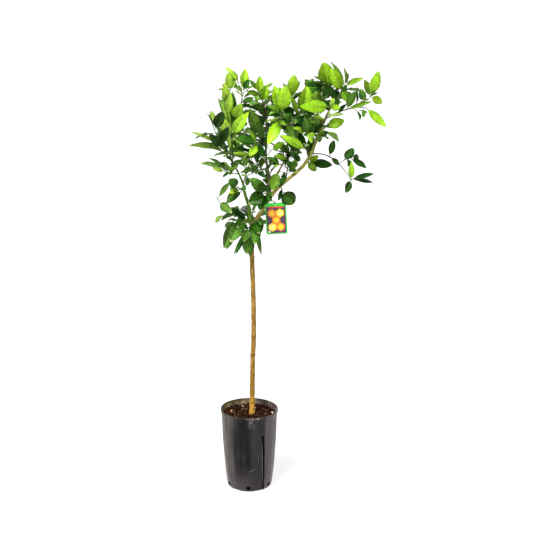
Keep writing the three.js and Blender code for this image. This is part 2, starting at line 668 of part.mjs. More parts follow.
    name: 'back_crest', on: 'bough_mid', t: 0.85, to: [30, 90, 1330], bow: [0, 4, -10], radii: [2.4, 1.2], seed: 83,
    shoots: [
      [0.6, [100, 80, 1330], [0, 0, 4], [4, 20, 76, 0.4, 0.3, 0.2]],
    ],
    rule: [6, 20, 76, 0.4, 0.25, 0.2],
  },
  {
    name: 'back_high', on: 'bough_right', t: 0.84, to: [204, 120, 1362], bow: [6, 10, -12], radii: [2.5, 1.2], seed: 89,
    shoots: [
      [0.55, [262, 112, 1340], [4, 0, 4], [4, 40, 72, 0.4, 0.3, 0.2]],
    ],
    rule: [6, 30, 76, 0.4, 0.25, 0.15],
  },
  {
    name: 'back_upper_left', on: 'bough_far_left', t: 0.86, to: [-66, 88, 1306], bow: [6, 16, -6], radii: [2.2, 1.1], seed: 97,
    shoots: [
      [0.5, [-40, 96, 1270], [0, 0, 4], [3, 20, 66, 0.3, 0.4, 0.2]],
    ],
    rule: [5, 60, 70, 0.4, 0.3, 0.2],
  },
];

// Pot: outer radius at a height, a slight barrel that draws in at the foot and lips out at the rim.
const POT_PROFILE = [[0, 74.5], [3, 77], [10, 78.8], [60, 85.5], [160, 93], [262, 96.8], [268, 98.4],
  [274, 99.8], [POT_HEIGHT, POT_RIM]];
const WALL_PROFILE = [POT_FLOOR, 10, 60, 160, 262, POT_HEIGHT];

const potRadius = (z) => {
  const k = Math.max(1, POT_PROFILE.findIndex(([height]) => height >= z));
  const [low, high] = [POT_PROFILE[k - 1], POT_PROFILE[k]];
  return low[1] + ((high[1] - low[1]) * (z - low[0])) / (high[0] - low[0]);
};

const ringed = (solid, angle) => solid.rotate([0, 0, angle]);

const potSolid = () => {
  const outer = POT_PROFILE.map(([z, r]) => [r, z]);
  const inner = WALL_PROFILE.map((z) => [potRadius(z) - POT_WALL, z]).reverse();
  let solid = lathe([[0, 0], ...outer, ...inner, [0, POT_FLOOR]], POT_SIDES);
  const slot = toSolid(new THREE.BoxGeometry(SLOT.width, 12, SLOT.height).translate(0, -77, SLOT.middle));
  const arch = toSolid(new THREE.BoxGeometry(26, 12, 3).translate(0, -79, 0));
  for (let k = 0; k < SLOT_COUNT; k += 1) {
    const angle = (360 / SLOT_COUNT) * k + SLOT.turn;
    solid = solid.subtract(ringed(slot, angle)).subtract(ringed(arch, angle + 30));
  }
  // A moulded groove down the wall, right of the front.
  const groove = loft([14, 60, 110, 160, 210].map((z) => {
    const [deep, clear] = [-potRadius(z) + GROOVE.depth, -potRadius(z) - 3];
    return [[GROOVE.half, deep], [-GROOVE.half, deep], [-GROOVE.half, clear], [GROOVE.half, clear]]
      .map(([x, y]) => new THREE.Vector3(x, y, z));
  }));
  return solid.subtract(ringed(groove, GROOVE.angle));
};

// Soil: a lumpy disc that fills the pot and is level under the trunk.
const soilSolid = () => {
  const dice = new Dice(97);
  const ring = (radius, height) => Array.from({ length: POT_SIDES }, (_, k) => {
    const angle = (2 * Math.PI * k) / POT_SIDES;
    return new THREE.Vector3(radius * Math.sin(angle), radius * Math.cos(angle), height());
  });
  const sides = WALL_PROFILE.filter((z) => z < 262).map((z) => (
    ring(potRadius(z) - POT_WALL - 1.1 * GAP, () => z + (z === POT_FLOOR ? GAP : 0))));
  const shoulder = ring(potRadius(252) - POT_WALL - 1.1 * GAP, () => 252);
  const lumpy = [80, 50].map((radius) => ring(radius, () => SOIL_LEVEL - 1 + dice.around(2.4)));
  return loft([...sides, shoulder, ...lumpy, ring(22, () => SOIL_LEVEL)]);
};

// The hanging label: a card with round corners and a hole, tilted a little.
const labelPlace = (x, z) => {
  const turned = new THREE.Vector3(x, 0, z).applyAxisAngle(new THREE.Vector3(0, 1, 0), -radians(LABEL.lean));
  return turned.add(new THREE.Vector3(...LABEL.place));
};

const labelSolid = () => {
  const [w, h, r] = [LABEL.width / 2, LABEL.height / 2, LABEL.corner];
  const shape = new THREE.Shape();
  const corners = [[w - r, h - r, 0], [r - w, h - r, 90], [r - w, r - h, 180], [w - r, r - h, 270]];
  for (const [x, y, from] of corners) {
    shape.absarc(x, y, r, radians(from), radians(from + 90), false);
  }
  const hole = new THREE.Path();
  hole.absarc(0, h - 5, LABEL.holeRadius, 0, 2 * Math.PI, true);
  shape.holes.push(hole);
  const card = new THREE.ExtrudeGeometry(shape, { depth: LABEL.thick, bevelEnabled: false, curveSegments: 5 });
  card.translate(0, 0, -LABEL.thick / 2).rotateX(Math.PI / 2).rotateY(-radians(LABEL.lean));
  return toSolid(card.translate(...LABEL.place));
};

// The tie: one closed loop through the label's hole and over the right bough.
const tieSolid = () => {
  const hole = labelPlace(0, LABEL.height / 2 - 5);
  const bough = LIMBS.bough_right;
  const along = bough.along(TIE.place);
  const top = UP.clone().addScaledVector(along, -along.z).normalize();
  const front = along.clone().cross(top).normalize();
  const round = TIE.angles.map((angle) => bough.at(TIE.place)
    .addScaledVector(top, Math.cos(radians(angle)) * (bough.radius(TIE.place) + TIE.clear))
    .addScaledVector(front, Math.sin(radians(angle)) * (bough.radius(TIE.place) + TIE.clear)));
  const near = (y, z) => hole.clone().add(point([-1.2, y, z]));
  const points = [hole, near(-3.2, 3.0), near(-2.0, 7.5), ...round, near(3.2, 3.0)];
  const curve = new THREE.CatmullRomCurve3(points, true, 'catmullrom', 0.5);
  return toSolid(new THREE.TubeGeometry(curve, 32, TIE.radius, 5, true));
};

// Assembly.
const tree = new Tree(LIMBS);
for (const row of MASSES) tree.mass(row);
tree.grow();

const largest = (solid) => {
  const pieces = solid.decompose();
  return pieces.reduce((best, piece) => (piece.volume() > best.volume() ? piece : best));
};

const steps = { trunk: 16, bough_right: 12, bough_left: 6, bough_far_left: 4, bough_mid: 9, bough_back: 5 };
const below = toSolid(new THREE.BoxGeometry(60, 60, 20).translate(0, 0, TRUNK_CUT - 10));
const limbSolids = {};
const grownLimbs = {};
for (const [name, wood] of Object.entries(LIMBS)) {
  grownLimbs[name] = bar(wood, LIMB_SIDES, steps[name], GAP, GAP);
}
for (const [name, wood] of Object.entries(LIMBS)) {
  // The trunk starts a little low and is cut level above the soil.
  let solid = bar(wood, LIMB_SIDES, steps[name]).subtract(below);
  for (const earlier of Object.keys(limbSolids)) solid = solid.subtract(grownLimbs[earlier]);
  limbSolids[name] = largest(solid);
}

const LEAF_GREENS = ['#1d4a1c', '#2f6a22', '#4f8f24', '#86bb2b', '#a8d835'];
const massSolids = {};
for (const { name, twigs, leaves } of tree.masses) {
  const parts = twigs.map(({ wood }, k) => bar(wood, TWIG_SIDES, k ? 3 : 5));
  let solid = Manifold.union([...parts, ...leaves.map(leafSolid)]);
  for (const grown of Object.values(grownLimbs)) solid = solid.subtract(grown);
  massSolids[name] = largest(solid);
}

const group = new THREE.Group();
const add = (name, solid, colour, roughness) => {
  const { numProp, vertProperties, triVerts } = solid.getMesh();
  const geometry = new THREE.BufferGeometry();
  const positions = new Float32Array((vertProperties.length / numProp) * 3);
  for (let k = 0; k * numProp < vertProperties.length; k += 1) {
    positions.set(vertProperties.subarray(k * numProp, k * numProp + 3), k * 3);
  }
  geometry.setAttribute('position', new THREE.BufferAttribute(positions, 3));
  geometry.setIndex(new THREE.BufferAttribute(triVerts, 1));
  geometry.computeVertexNormals();
  const mesh = new THREE.Mesh(geometry, new THREE.MeshStandardMaterial({ color: colour, roughness, metalness: 0 }));
  mesh.name = name;
  group.add(mesh);
};

add('pot', potSolid(), '#26272a', 0.55);
add('soil', soilSolid(), '#3b2618', 0.95);
const bark = { trunk: '#a9803a', bough_left: '#5f7a34', bough_mid: '#6f6250' };
for (const [name, solid] of Object.entries(limbSolids)) add(name, solid, bark[name] ?? '#a58a48', 0.8);
for (const { name, leaves } of tree.masses) {
  const age = leaves.reduce((sum, leaf) => sum + leaf.age, 0) / leaves.length;
  const green = LEAF_GREENS[Math.min(4, Math.floor(age * 5.5))];
  add(name, massSolids[name], green, 0.45);
}
add('label', labelSolid(), '#4a2b45', 0.4);
add('label_tie', tieSolid(), '#161616', 0.5);

export default group;
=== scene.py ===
# %% [markdown]
# A young orange tree in a nursery pot, 1.47 m tall.
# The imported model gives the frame: where the pot stands, how far each bough reaches and which space each
# mass of leaves may fill. This notebook dresses that frame. It grows the tree again by the rule that made
# the solids, turns every line of wood into bark with relief and every leaf into a veined blade, and then
# makes the pot, the compost and the card that hangs from the right bough.
# Lengths are in millimetres until a mesh is made; the helper that makes it scales them to metres.

import math

import bpy
import numpy as np
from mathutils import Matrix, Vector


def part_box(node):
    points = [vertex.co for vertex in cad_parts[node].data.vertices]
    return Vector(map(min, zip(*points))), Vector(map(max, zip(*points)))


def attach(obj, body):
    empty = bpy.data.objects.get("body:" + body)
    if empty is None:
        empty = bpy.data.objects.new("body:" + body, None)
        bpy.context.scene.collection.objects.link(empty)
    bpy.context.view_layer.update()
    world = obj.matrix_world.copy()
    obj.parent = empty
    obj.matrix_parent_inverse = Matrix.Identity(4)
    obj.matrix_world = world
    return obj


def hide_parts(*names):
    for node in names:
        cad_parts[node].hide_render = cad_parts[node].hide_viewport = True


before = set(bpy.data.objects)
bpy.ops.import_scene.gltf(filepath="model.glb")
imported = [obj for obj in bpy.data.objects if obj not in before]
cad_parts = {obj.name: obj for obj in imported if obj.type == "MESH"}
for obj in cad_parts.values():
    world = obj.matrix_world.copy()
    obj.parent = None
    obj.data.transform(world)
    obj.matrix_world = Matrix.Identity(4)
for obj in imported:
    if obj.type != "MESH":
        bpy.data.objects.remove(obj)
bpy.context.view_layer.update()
MM = 0.001

# %% [markdown]
# The photographer stood three and a half metres away with a long lens, a little above the crown's top
# and looking down slightly, which is why the pot's mouth shows as a flat ellipse. The camera repeats that
# place. The lens is the sensor's width times the focal length in pixels over the picture's width in pixels,
# so the tree fills the frame as it did.

# %% Camera
CAMERA_PLACE = (0.060, -3.5, 1.620)
CAMERA_DOWN = 13.4
SENSOR_WIDTH = 36
PICTURE_WIDTH = 533
FOCAL_PIXELS = 1067

camera_data = bpy.data.cameras.new("camera")
camera = bpy.data.objects.new("camera", camera_data)
camera_data.sensor_width = SENSOR_WIDTH
camera_data.lens = SENSOR_WIDTH * FOCAL_PIXELS / PICTURE_WIDTH
camera.location = CAMERA_PLACE
camera.rotation_euler = (math.radians(90 - CAMERA_DOWN), 0, 0)
bpy.context.scene.collection.objects.link(camera)
bpy.context.scene.camera = camera
print("lens", round(camera_data.lens, 2), "mm")

# %% [markdown]
# A few small helpers serve every finish. Screens give colours as sRGB hex codes, but light adds up in linear
# values, so one function turns the one into the other. Another feeds a socket: it links what comes out of a
# node and sets anything else as a plain value. A third adds a node with its settings and its links.

# %% Colour and node helpers
def linear(code):
    """An sRGB hex code as linear red, green, blue and alpha: c / 12.92 up to 0.04045, above it
    ((c + 0.055) / 1.055) to the power 2.4."""
    part = np.array([int(code[k:k + 2], 16) for k in (1, 3, 5)]) / 255
    light = np.where(part <= 0.04045, part / 12.92, ((part + 0.055) / 1.055) ** 2.4)
    return (*light.tolist(), 1.0)


def feed(socket, value):
    """Links the socket if the value is a socket too, and sets it otherwise; a hex code is a colour."""
    if isinstance(value, bpy.types.NodeSocket):
        socket.id_data.links.new(value, socket)
    else:
        socket.default_value = linear(value) if isinstance(value, str) else value


def add(tree, kind, *values, output=None, **named):
    """A new node. The values go to its open inputs in order, a name with a capital letter is an input and
    any other name a setting. Returns the named output, or else the first open one."""
    node = tree.nodes.new("ShaderNode" + kind)
    for name in [name for name in named if name.islower()]:
        setattr(node, name, named.pop(name))
    for socket, value in zip([socket for socket in node.inputs if socket.enabled], values):
        feed(socket, value)
    for name, value in named.items():
        feed(node.inputs[name], value)
    return node.outputs[output] if output else next(socket for socket in node.outputs if socket.enabled)


def ramp(tree, factor, *stops):
    """A colour ramp over factor with a stop at each (place, hex code); returns its colour."""
    colour = add(tree, "ValToRGB", factor)
    band = colour.node.color_ramp
    while len(band.elements) < len(stops):
        band.elements.new(1.0)
    for element, (place, code) in zip(band.elements, stops):
        element.position, element.color = place, linear(code)
    return colour


def new_finish(name):
    """A new material and its node tree."""
    material = bpy.data.materials.new(name)
    material.use_nodes = True
    return material, material.node_tree


def dressed(material, colour, roughness, specular=0.5, ior=1.5, **more):
    """The material with the inputs of its Principled shader fed. In the names in more, _ is a space."""
    inputs = {"Base Color": colour, "Roughness": roughness, "Specular IOR Level": specular, "IOR": ior}
    for name, value in {**inputs, **more}.items():
        feed(material.node_tree.nodes["Principled BSDF"].inputs[name.replace("_", " ")], value)
    return material


print("lime leaf in linear light:", [round(c, 3) for c in linear("#9fd52c")[:3]])

# %% [markdown]
# The photograph was taken against white, under broad soft lamps. A pale floor that runs out of sight, a
# bright wall of sky and three wide suns repeat that: a strong one high at the front left for the modelling
# on the leaves, a weak one at the right and one behind, so the back is lit too. The floor glows by itself,
# which keeps the tree's shadow as faint as in the photograph. The view transform is Standard, because a
# transform made for films greys the lime leaves.

# %% Floor and light
FLOOR_SIDE = 60.0
FLOOR_GREY, FLOOR_GLOW = (0.34, 0.34, 0.34, 1), 0.72
SUNS = {  # name: strength, width in degrees, tilt from overhead, compass turn
    "key": (3.6, 24, 38, -32),
    "fill_right": (0.45, 40, 60, 60),
    "back": (1.1, 30, 46, 180),
}
WALL_TOP, CEILING_START = 0.08, 0.32  # the sky's Z at which the wall ends and the ceiling starts
WALL_LIGHT, CEILING_LIGHT = 1.05, 0.27

floor_mesh = bpy.data.meshes.new("floor")
corners = [(x * FLOOR_SIDE / 2, y * FLOOR_SIDE / 2, 0) for x, y in ((-1, -1), (1, -1), (1, 1), (-1, 1))]
floor_mesh.from_pydata(corners, [], [(0, 1, 2, 3)])
floor = bpy.data.objects.new("floor", floor_mesh)
bpy.context.scene.collection.objects.link(floor)
floor_paint, _ = new_finish("studio_floor_paint")
floor_mesh.materials.append(dressed(floor_paint, FLOOR_GREY, 0.9, 0.0, Emission_Color="#ffffff",
                                    Emission_Strength=FLOOR_GLOW))

for name, (strength, width, tilt, turn) in SUNS.items():
    sun = bpy.data.lights.new(name, "SUN")
    sun.energy, sun.angle = strength, math.radians(width)
    lamp = bpy.data.objects.new(name, sun)
    lamp.rotation_euler = (math.radians(tilt), 0, math.radians(turn))
    bpy.context.scene.collection.objects.link(lamp)

world = bpy.data.worlds.new("white_studio")
world.use_nodes = True
sky = world.node_tree
rise = add(sky, "SeparateXYZ", add(sky, "TexCoord", output="Generated"), output="Z")
level = add(sky, "MapRange", rise, WALL_TOP, CEILING_START, WALL_LIGHT, CEILING_LIGHT)
feed(sky.nodes["Background"].inputs["Strength"], level)
feed(sky.nodes["Background"].inputs["Color"], "#ffffff")
bpy.context.scene.world = world
bpy.context.scene.view_settings.view_transform = "Standard"
print("suns:", ", ".join(SUNS))

# %% [markdown]
# Every piece here is a skin over rings: a trunk, a twig, a leaf blade and the pot are all rows of rings. One
# function writes the faces between rings, one joins many such skins into one, and one turns the arrays into
# a Blender mesh with its materials, its named fields and its sharp edges.

# %% Mesh helpers
def unit(v):
    """The vector, or each vector of an array, over its own length."""
    return v / np.linalg.norm(v, axis=-1, keepdims=True)


def ring_angles(sides):
    """Evenly spaced angles round a ring, in radians."""
    return 2 * np.pi * np.arange(sides) / sides


def grid_quads(rows, sides, wrap=False):
    """Quads between neighbouring rings. With wrap the last ring meets the first one too."""
    row, col = np.meshgrid(np.arange(rows - 1 + wrap), np.arange(sides), indexing="ij")
    down, turn = (row + 1) % rows, (col + 1) % sides
    return np.stack([row * sides + col, row * sides + turn, down * sides + turn, down * sides + col],
                    -1).reshape(-1, 4)


def ring_faces(rows, sides):
    """Faces of a closed skin: quads between neighbouring rings, and at either end a fan of triangles
    to one more point. The two end points come after the rings' points."""
    k = np.arange(sides)
    near, far, top = rows * sides, rows * sides + 1, (rows - 1) * sides
    first = np.stack([np.full(sides, near), (k + 1) % sides, k], -1)
    last = np.stack([np.full(sides, far), top + k, top + (k + 1) % sides], -1)
    return grid_quads(rows, sides), np.concatenate([first, last])


def joined(parts):
    """Many (points, quads, triangles) as one, each part's face numbers moved past the points before it."""
    starts = np.cumsum([0] + [len(points) for points, _, _ in parts[:-1]])
    quads = [q + start for (_, q, _), start in zip(parts, starts)]
    triangles = [t + start for (_, _, t), start in zip(parts, starts)]
    return np.concatenate([p for p, _, _ in parts]), np.concatenate(quads), np.concatenate(triangles)


print("faces round a ring of six:", ring_faces(2, 6)[0].tolist()[0], "and five more")

# %% [markdown]
# A mesh in Blender is a list of points, a list of corners and, for each face, where its corners start. Whole
# arrays go in at once, which is far faster than one face at a time. Every piece rides on the fixed body.

# %% From arrays to a piece
def piece(name, skin, materials, fields=(), slots=None, sharp=None, flat=False):
    """A mesh object from a skin in millimetres. fields are values by point, slots the material of each
    face, and sharp a test on the two point numbers of every edge."""
    points, quads, triangles = skin
    mesh = bpy.data.meshes.new(name)
    corners = np.concatenate([quads.ravel(), triangles.ravel()]).astype(np.int32)
    starts = np.concatenate([4 * np.arange(len(quads)), 4 * len(quads) + 3 * np.arange(len(triangles))])
    mesh.vertices.add(len(points))
    mesh.vertices.foreach_set("co", (points * MM).astype(np.float32).ravel())
    mesh.loops.add(len(corners))
    mesh.loops.foreach_set("vertex_index", corners)
    mesh.polygons.add(len(starts))
    mesh.polygons.foreach_set("loop_start", starts.astype(np.int32))
    mesh.update(calc_edges=True)
    for material in materials:
        mesh.materials.append(material)
    if slots is not None:
        mesh.polygons.foreach_set("material_index", np.asarray(slots, np.int32))
    mesh.polygons.foreach_set("use_smooth", np.full(len(starts), not flat))
    for field, values in dict(fields).items():
        values = np.asarray(values, np.float32)
        kind, slot = ("FLOAT", "value") if values.ndim == 1 else ("FLOAT_VECTOR", "vector")
        mesh.attributes.new(field, kind, "POINT").data.foreach_set(slot, values.ravel())
    if sharp is not None:
        ends = np.zeros(2 * len(mesh.edges), np.int32)
        mesh.edges.foreach_get("vertices", ends)
        crease = mesh.attributes.new("sharp_edge", "BOOLEAN", "EDGE")
        crease.data.foreach_set("value", sharp(*ends.reshape(-1, 2).T))
    mesh.validate()
    made = bpy.data.objects.new(name, mesh)
    bpy.context.scene.collection.objects.link(made)
    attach(made, "root")
    print(f"{name}: {len(points)} points, {2 * len(quads) + len(triangles)} triangles")
    return made


def ripples(points, wavelength, seed, waves=9):
    """Smooth uneven relief, about -1 to 1: the sum of sine waves of about one wavelength, each along its
    own random direction with its own random start."""
    rng = np.random.default_rng(seed)
    ways = unit(rng.normal(size=(waves, 3))) * (2 * np.pi / wavelength) * rng.uniform(0.7, 1.4, (waves, 1))
    return np.sin(points @ ways.T + rng.uniform(0, 2 * np.pi, waves)).sum(-1) / math.sqrt(2 * waves)


print("ripples at the origin:", round(float(ripples(np.zeros((1, 3)), 34, 3)[0]), 3))

# %% [markdown]
# The tree grows by a rule, so the same tree grows here as in the solids. Its chances come from dice that any
# language can roll alike: whole numbers, multiplied and cut to 32 bits.

# %% Dice
UP = np.array([0.0, 0.0, 1.0])
FRONT = np.array([0.0, -1.0, 0.0])
WORD = 2**32


class Dice:
    """A linear congruence: each state is the last one times 1664525 plus 1013904223, cut to 32 bits."""

    def __init__(self, seed):
        self.state = (seed * 2654435761 + 12345) % WORD
        for _ in range(3):
            self.roll()

    def roll(self):
        """The next state over its greatest value: a chance from 0 to 1."""
        self.state = (self.state * 1664525 + 1013904223) % WORD
        return self.state / WORD

    def around(self, spread):
        """A chance from minus the spread to plus the spread."""
        return (self.roll() * 2 - 1) * spread


print("first roll with seed 1:", round(Dice(1).roll(), 4))

# %% [markdown]
# Wood is a curve with a radius that falls from root to tip: a smooth line through a few points for trunk
# and boughs, a bow from start to tip for a twig.

# %% Wood
def between(a, b, c, d, w):
    """Catmull-Rom cubic, w of the way from b to c. Its slope at b is half the step from a to c, and its
    slope at c half the step from b to d."""
    out, back = (c - a) / 2, (d - b) / 2
    return (2 * b - 2 * c + out + back) * w**3 + (3 * c - 3 * b - 2 * out - back) * w**2 + out * w + b


def through(*points):
    """A curve of such cubics through the points; past either end the line goes on as far again."""
    p = np.array(points, float)
    p = np.vstack([2 * p[0] - p[1], p, 2 * p[-1] - p[-2]])

    def curve(t):
        place = t * (len(p) - 3)
        k = np.minimum(place.astype(int), len(p) - 4)
        return between(p[k], p[k + 1], p[k + 2], p[k + 3], (place - k)[..., None])

    return curve


def bowed(start, end, bow):
    """A quadratic curve from start to end; its middle point is halfway between them plus the bow."""
    middle = (start + end) / 2 + bow

    def curve(t):
        w = t[..., None]
        return start * (1 - w) ** 2 + middle * 2 * w * (1 - w) + end * w**2

    return curve


class Wood:
    """A tapering line of wood. The radius runs evenly from root to tip, and a flare of two parts, one
    slow and one quick, widens the trunk's foot."""

    def __init__(self, curve, radii, flare=0.0):
        self.curve, self.radii, self.flare = curve, radii, flare

    def at(self, t):
        """Points at the shares t of the line."""
        return self.curve(np.asarray(t, float))

    def along(self, t):
        """Direction at t: the step from a little before it to a little after it."""
        t = np.asarray(t, float)
        return unit(self.at(np.minimum(1, t + 0.01)) - self.at(np.maximum(0, t - 0.01)))

    def radius(self, t):
        """Radius at t: a straight fall from root to tip, plus the flare."""
        t = np.asarray(t, float)
        flare = self.flare * (0.6 * (1 - t) ** 6 + 0.4 * np.exp(-t * 30))
        return self.radii[0] + (self.radii[1] - self.radii[0]) * t + flare

    def length(self):
        """Length in mm: the sum of forty straight steps."""
        return np.linalg.norm(np.diff(self.at(np.linspace(0, 1, 41)), axis=0), axis=1).sum()


twig = Wood(bowed(np.zeros(3), 100 * UP, 20 * FRONT), (3, 1))
print("a twig with a bow of 20 mm over 100 mm is", round(float(twig.length()), 1), "mm long")

# %% [markdown]
# The trunk is a grafted standard: one bare stem, kept clean in the nursery, up to the fork. Two boughs leave
# there, and three more leave those. Their points are those of the solids, judged from the photograph.

# %% Limbs
LIMBS = {
    "trunk": Wood(through([9.5, 0, 254], [11, 0, 352], [13, 2, 468], [16, 3, 527], [16, 2, 640],
                          [13, 0, 760], [11, -2, 822], [11, -2, 880], [12, 0, 938]), (8.3, 8.0), 1.8),
    "bough_right": Wood(through([16, 0, 930], [87, -28, 1047], [184, -30, 1137], [231, -10, 1233],
                                [260, 8, 1300]), (7.4, 3.8)),
    "bough_left": Wood(through([9, -2, 930], [0, -8, 998], [-11, -12, 1034], [-18, -10, 1075]), (6.8, 4.2)),
    "bough_far_left": Wood(through([-18, -10, 1072], [-35, -14, 1112], [-57, -18, 1154]), (3.4, 2.6)),
    "bough_mid": Wood(through([74, -22, 1026], [66, 6, 1102], [58, 18, 1158], [60, 14, 1258],
                              [58, 10, 1290]), (4.6, 3.0)),
    "bough_back": Wood(through([44, -8, 994], [73, 50, 1045], [112, 100, 1115]), (4.6, 3.2)),
}
print("limbs in mm:", {name: round(wood.length()) for name, wood in LIMBS.items()})

# %% [markdown]
# A citrus leaf has a short winged stalk, then a blade that arches over and folds a little along its
# midrib. For the question of whether it touches anything, fifteen points over its blade will do.

# %% One leaf
PETIOLE = 0.14


def outline(u):
    """Share of a leaf's half width at u from stalk to tip: a thin stalk, then a sine arch to the power
    0.7 that leans a little towards the stalk."""
    s = np.clip((np.asarray(u, float) - PETIOLE) / (1 - PETIOLE), 0, 1)
    blade = np.maximum(0, np.sin(np.pi * s**0.92)) ** 0.7 * (1 - 0.06 * s)
    return np.where(np.asarray(u) <= PETIOLE, 0.05, blade)


def leaf_samples(leaf):
    """Fifteen points over a blade: three across, at five places along its arched midrib."""
    u = np.array([0.3, 0.45, 0.6, 0.75, 0.9])[:, None, None]
    across = np.array([0, 1, -1])[None, :, None] * 0.425 * leaf["width"] * outline(u)
    side = np.cross(leaf["along"], leaf["face"])
    run, sag = leaf["length"] * u, leaf["length"] * leaf["arch"] * u**2
    midrib = leaf["root"] + leaf["along"] * run - leaf["face"] * sag
    return (midrib + side * across).reshape(-1, 3)


def turned(first, second, angle):
    """A direction at the angle from the first towards the second, which is square to it."""
    return first * math.cos(angle) + second * math.sin(angle)


def square_to(v, line):
    """The direction closest to v that is square to the line."""
    return unit(v - line * (v @ line))


def inside(samples, space):
    """True if every sample lies between the space's low and high corner."""
    return bool(((samples > space[0]) & (samples < space[1])).all())


print("leaf outline halfway:", round(float(outline(0.5)), 3))

# %% [markdown]
# Leaves stand round a twig in a 3/8 spiral. Some are listed one by one, where the photograph shows them
# plainly; the rest follow the spiral, each turned until it hangs clear of wood and of other leaves, and left
# out if it can't. An age from 0 to 1 goes with each leaf: old leaves are deep green, new ones lime.
# The lowest ages also stand for leaves deep in the crown's shade, so their near-black greens are painted
# shade.

# %% Growth rule
SPIRAL_TURN = 135
SWINGS = (0, 35, -35, 70, -70, 110, -110)  # degrees tried in turn until the leaf hangs clear
PITCH, TIP_PITCH = 52, 25  # degrees between twig and leaf, along the twig and at its tip
BARK_ROOM, OWN_ROOM, OTHER_ROOM = 4, 5, 9  # mm kept clear to bark, to the same mass and to others
YOUNG_AGE = 0.5
LIT_DEPTHS = (20, 40, 60, 80)  # mm kept free in front of a young listed leaf


class Tree:
    """Limbs, masses and everything grown so far as points that later leaves keep clear of."""

    def __init__(self, limbs):
        self.limbs, self.masses, self.skipped = limbs, [], 0
        share = np.linspace(0, 1, 25)
        self.bark = np.concatenate([wood.at(share) for wood in limbs.values()])
        self.bark_room = np.concatenate([wood.radius(share) + BARK_ROOM for wood in limbs.values()])
        self.kept, self.owner, self.woody = np.zeros((0, 3)), np.zeros(0, int), np.zeros(0, bool)

    def keep(self, points, owner, woody=False):
        """Points that later leaves keep clear of, with their mass."""
        self.kept = np.vstack([self.kept, points])
        self.owner = np.append(self.owner, np.full(len(points), owner))
        self.woody = np.append(self.woody, np.full(len(points), woody))

    def mass(self, name, on, t, to, bow, radii, seed, shoots=(), show=(), rule=None):
        """A stem on a limb with its side shoots, and the leaves that are listed one by one."""
        stem = Wood(bowed(self.limbs[on].at(t), np.array(to, float), np.array(bow, float)), radii)
        twigs = [(stem, rule)]
        for share, tip, bend, shoot_rule in shoots:
            thick = max(1.2, float(stem.radius(share)) * 0.75)
            curve = bowed(stem.at(share), np.array(tip, float), np.array(bend, float))
            twigs.append((Wood(curve, (thick, 1.0)), shoot_rule))
        mass = dict(name=name, number=len(self.masses), on=on, twigs=twigs, dice=Dice(seed), leaves=[])
        self.masses.append(mass)
        for wood, _ in twigs:
            self.keep(wood.at(np.arange(1, 9) / 8), mass["number"], True)
        for row in show:
            self.shown(mass, *row)

    def clear(self, samples, number):
        """True if every sample keeps its room to bark, to leaves of its own mass and to other masses."""
        gap = np.linalg.norm(samples[:, None] - self.bark, axis=-1).min(0)
        if (gap <= self.bark_room).any():
            return False
        room = np.where(self.owner == number, np.where(self.woody, -1, OWN_ROOM), OTHER_ROOM)
        gap = np.linalg.norm(samples[:, None] - self.kept, axis=-1).min(0)
        return bool((gap > room).all())

    def place(self, mass, leaf, lit=False):
        """Adds a leaf to its mass. Light must reach a lit one."""
        samples = leaf_samples(leaf)
        mass["leaves"].append(leaf)
        self.keep(samples, mass["number"])
        for depth in LIT_DEPTHS if lit else ():
            self.keep(samples + FRONT * depth, -1)

    def shown(self, mass, which, t, tip, width, turn, age, arch=0.12, fold=14):
        """A listed leaf: the place of its tip, its width and its turn away from the front."""
        root = mass["twigs"][which][0].at(t)
        reach = np.array(tip, float) - root
        length = float(np.linalg.norm(reach))
        line = reach / length
        face = square_to(FRONT + UP * 0.05, line)
        side = np.cross(line, face)
        side = -side if side[2] + 0.35 * side[0] < 0 else side
        face = turned(face, side, math.radians(turn))
        along = unit(reach + face * length * arch)
        leaf = dict(root=root, along=along, face=square_to(face, along), length=length, width=width,
                    arch=arch, fold=math.radians(fold), age=age)
        self.place(mass, leaf, lit=age > YOUNG_AGE)

    def leafy(self, mass, wood, count, turn, size, age, first, droop, dice=None):
        """The spiral rule for one twig; returns how many of its leaves found room."""
        dice, grown = dice or mass["dice"], 0
        for k in range(count):
            last = k == count - 1
            t = 1.0 if last else first + (1 - first) * (k + 0.6) / count
            tangent = wood.along(t)
            ref = unit(np.cross(tangent, UP)) if abs(tangent[2]) < 0.95 else np.array([1.0, 0.0, 0.0])
            other = np.cross(ref, tangent)
            full = size * (0.82 + 0.3 * dice.roll()) * (0.9 if last else 1)
            wide = 0.44 + 0.12 * dice.roll()
            pitch = math.radians((TIP_PITCH if last else PITCH) + dice.around(12))
            roll = math.radians(dice.around(28))
            arch = 0.06 + 0.14 * dice.roll()
            fold = math.radians(8 + 14 * dice.roll())
            tone = min(1, max(0, age + dice.around(0.16) + 0.12 * (t - 0.6)))
            for attempt, swing in enumerate(SWINGS):
                length = full * (1 - 0.05 * attempt)
                spoke = turned(ref, other, math.radians(turn + SPIRAL_TURN * k + swing))
                along = unit(turned(tangent, spoke, pitch) - UP * droop * (0.4 if last else 1))
                face = square_to(UP * 0.75 + tangent * 0.55, along)
                face = turned(face, np.cross(along, face), roll)
                leaf = dict(root=wood.at(t), along=along, face=face, length=length, width=length * wide,
                            arch=arch, fold=fold, age=tone)
                samples = leaf_samples(leaf)
                if "space" in mass and not inside(samples, mass["space"]):
                    continue
                if self.clear(samples, mass["number"]):
                    self.place(mass, leaf)
                    grown += 1
                    break
            else:
                self.skipped += 1
        return grown

    def grow(self):
        """Grows the spiral leaves, mass by mass and twig by twig."""
        for mass in self.masses:
            for wood, rule in mass["twigs"]:
                if rule:
                    self.leafy(mass, wood, *rule)


print("turns tried for each leaf:", len(SWINGS))
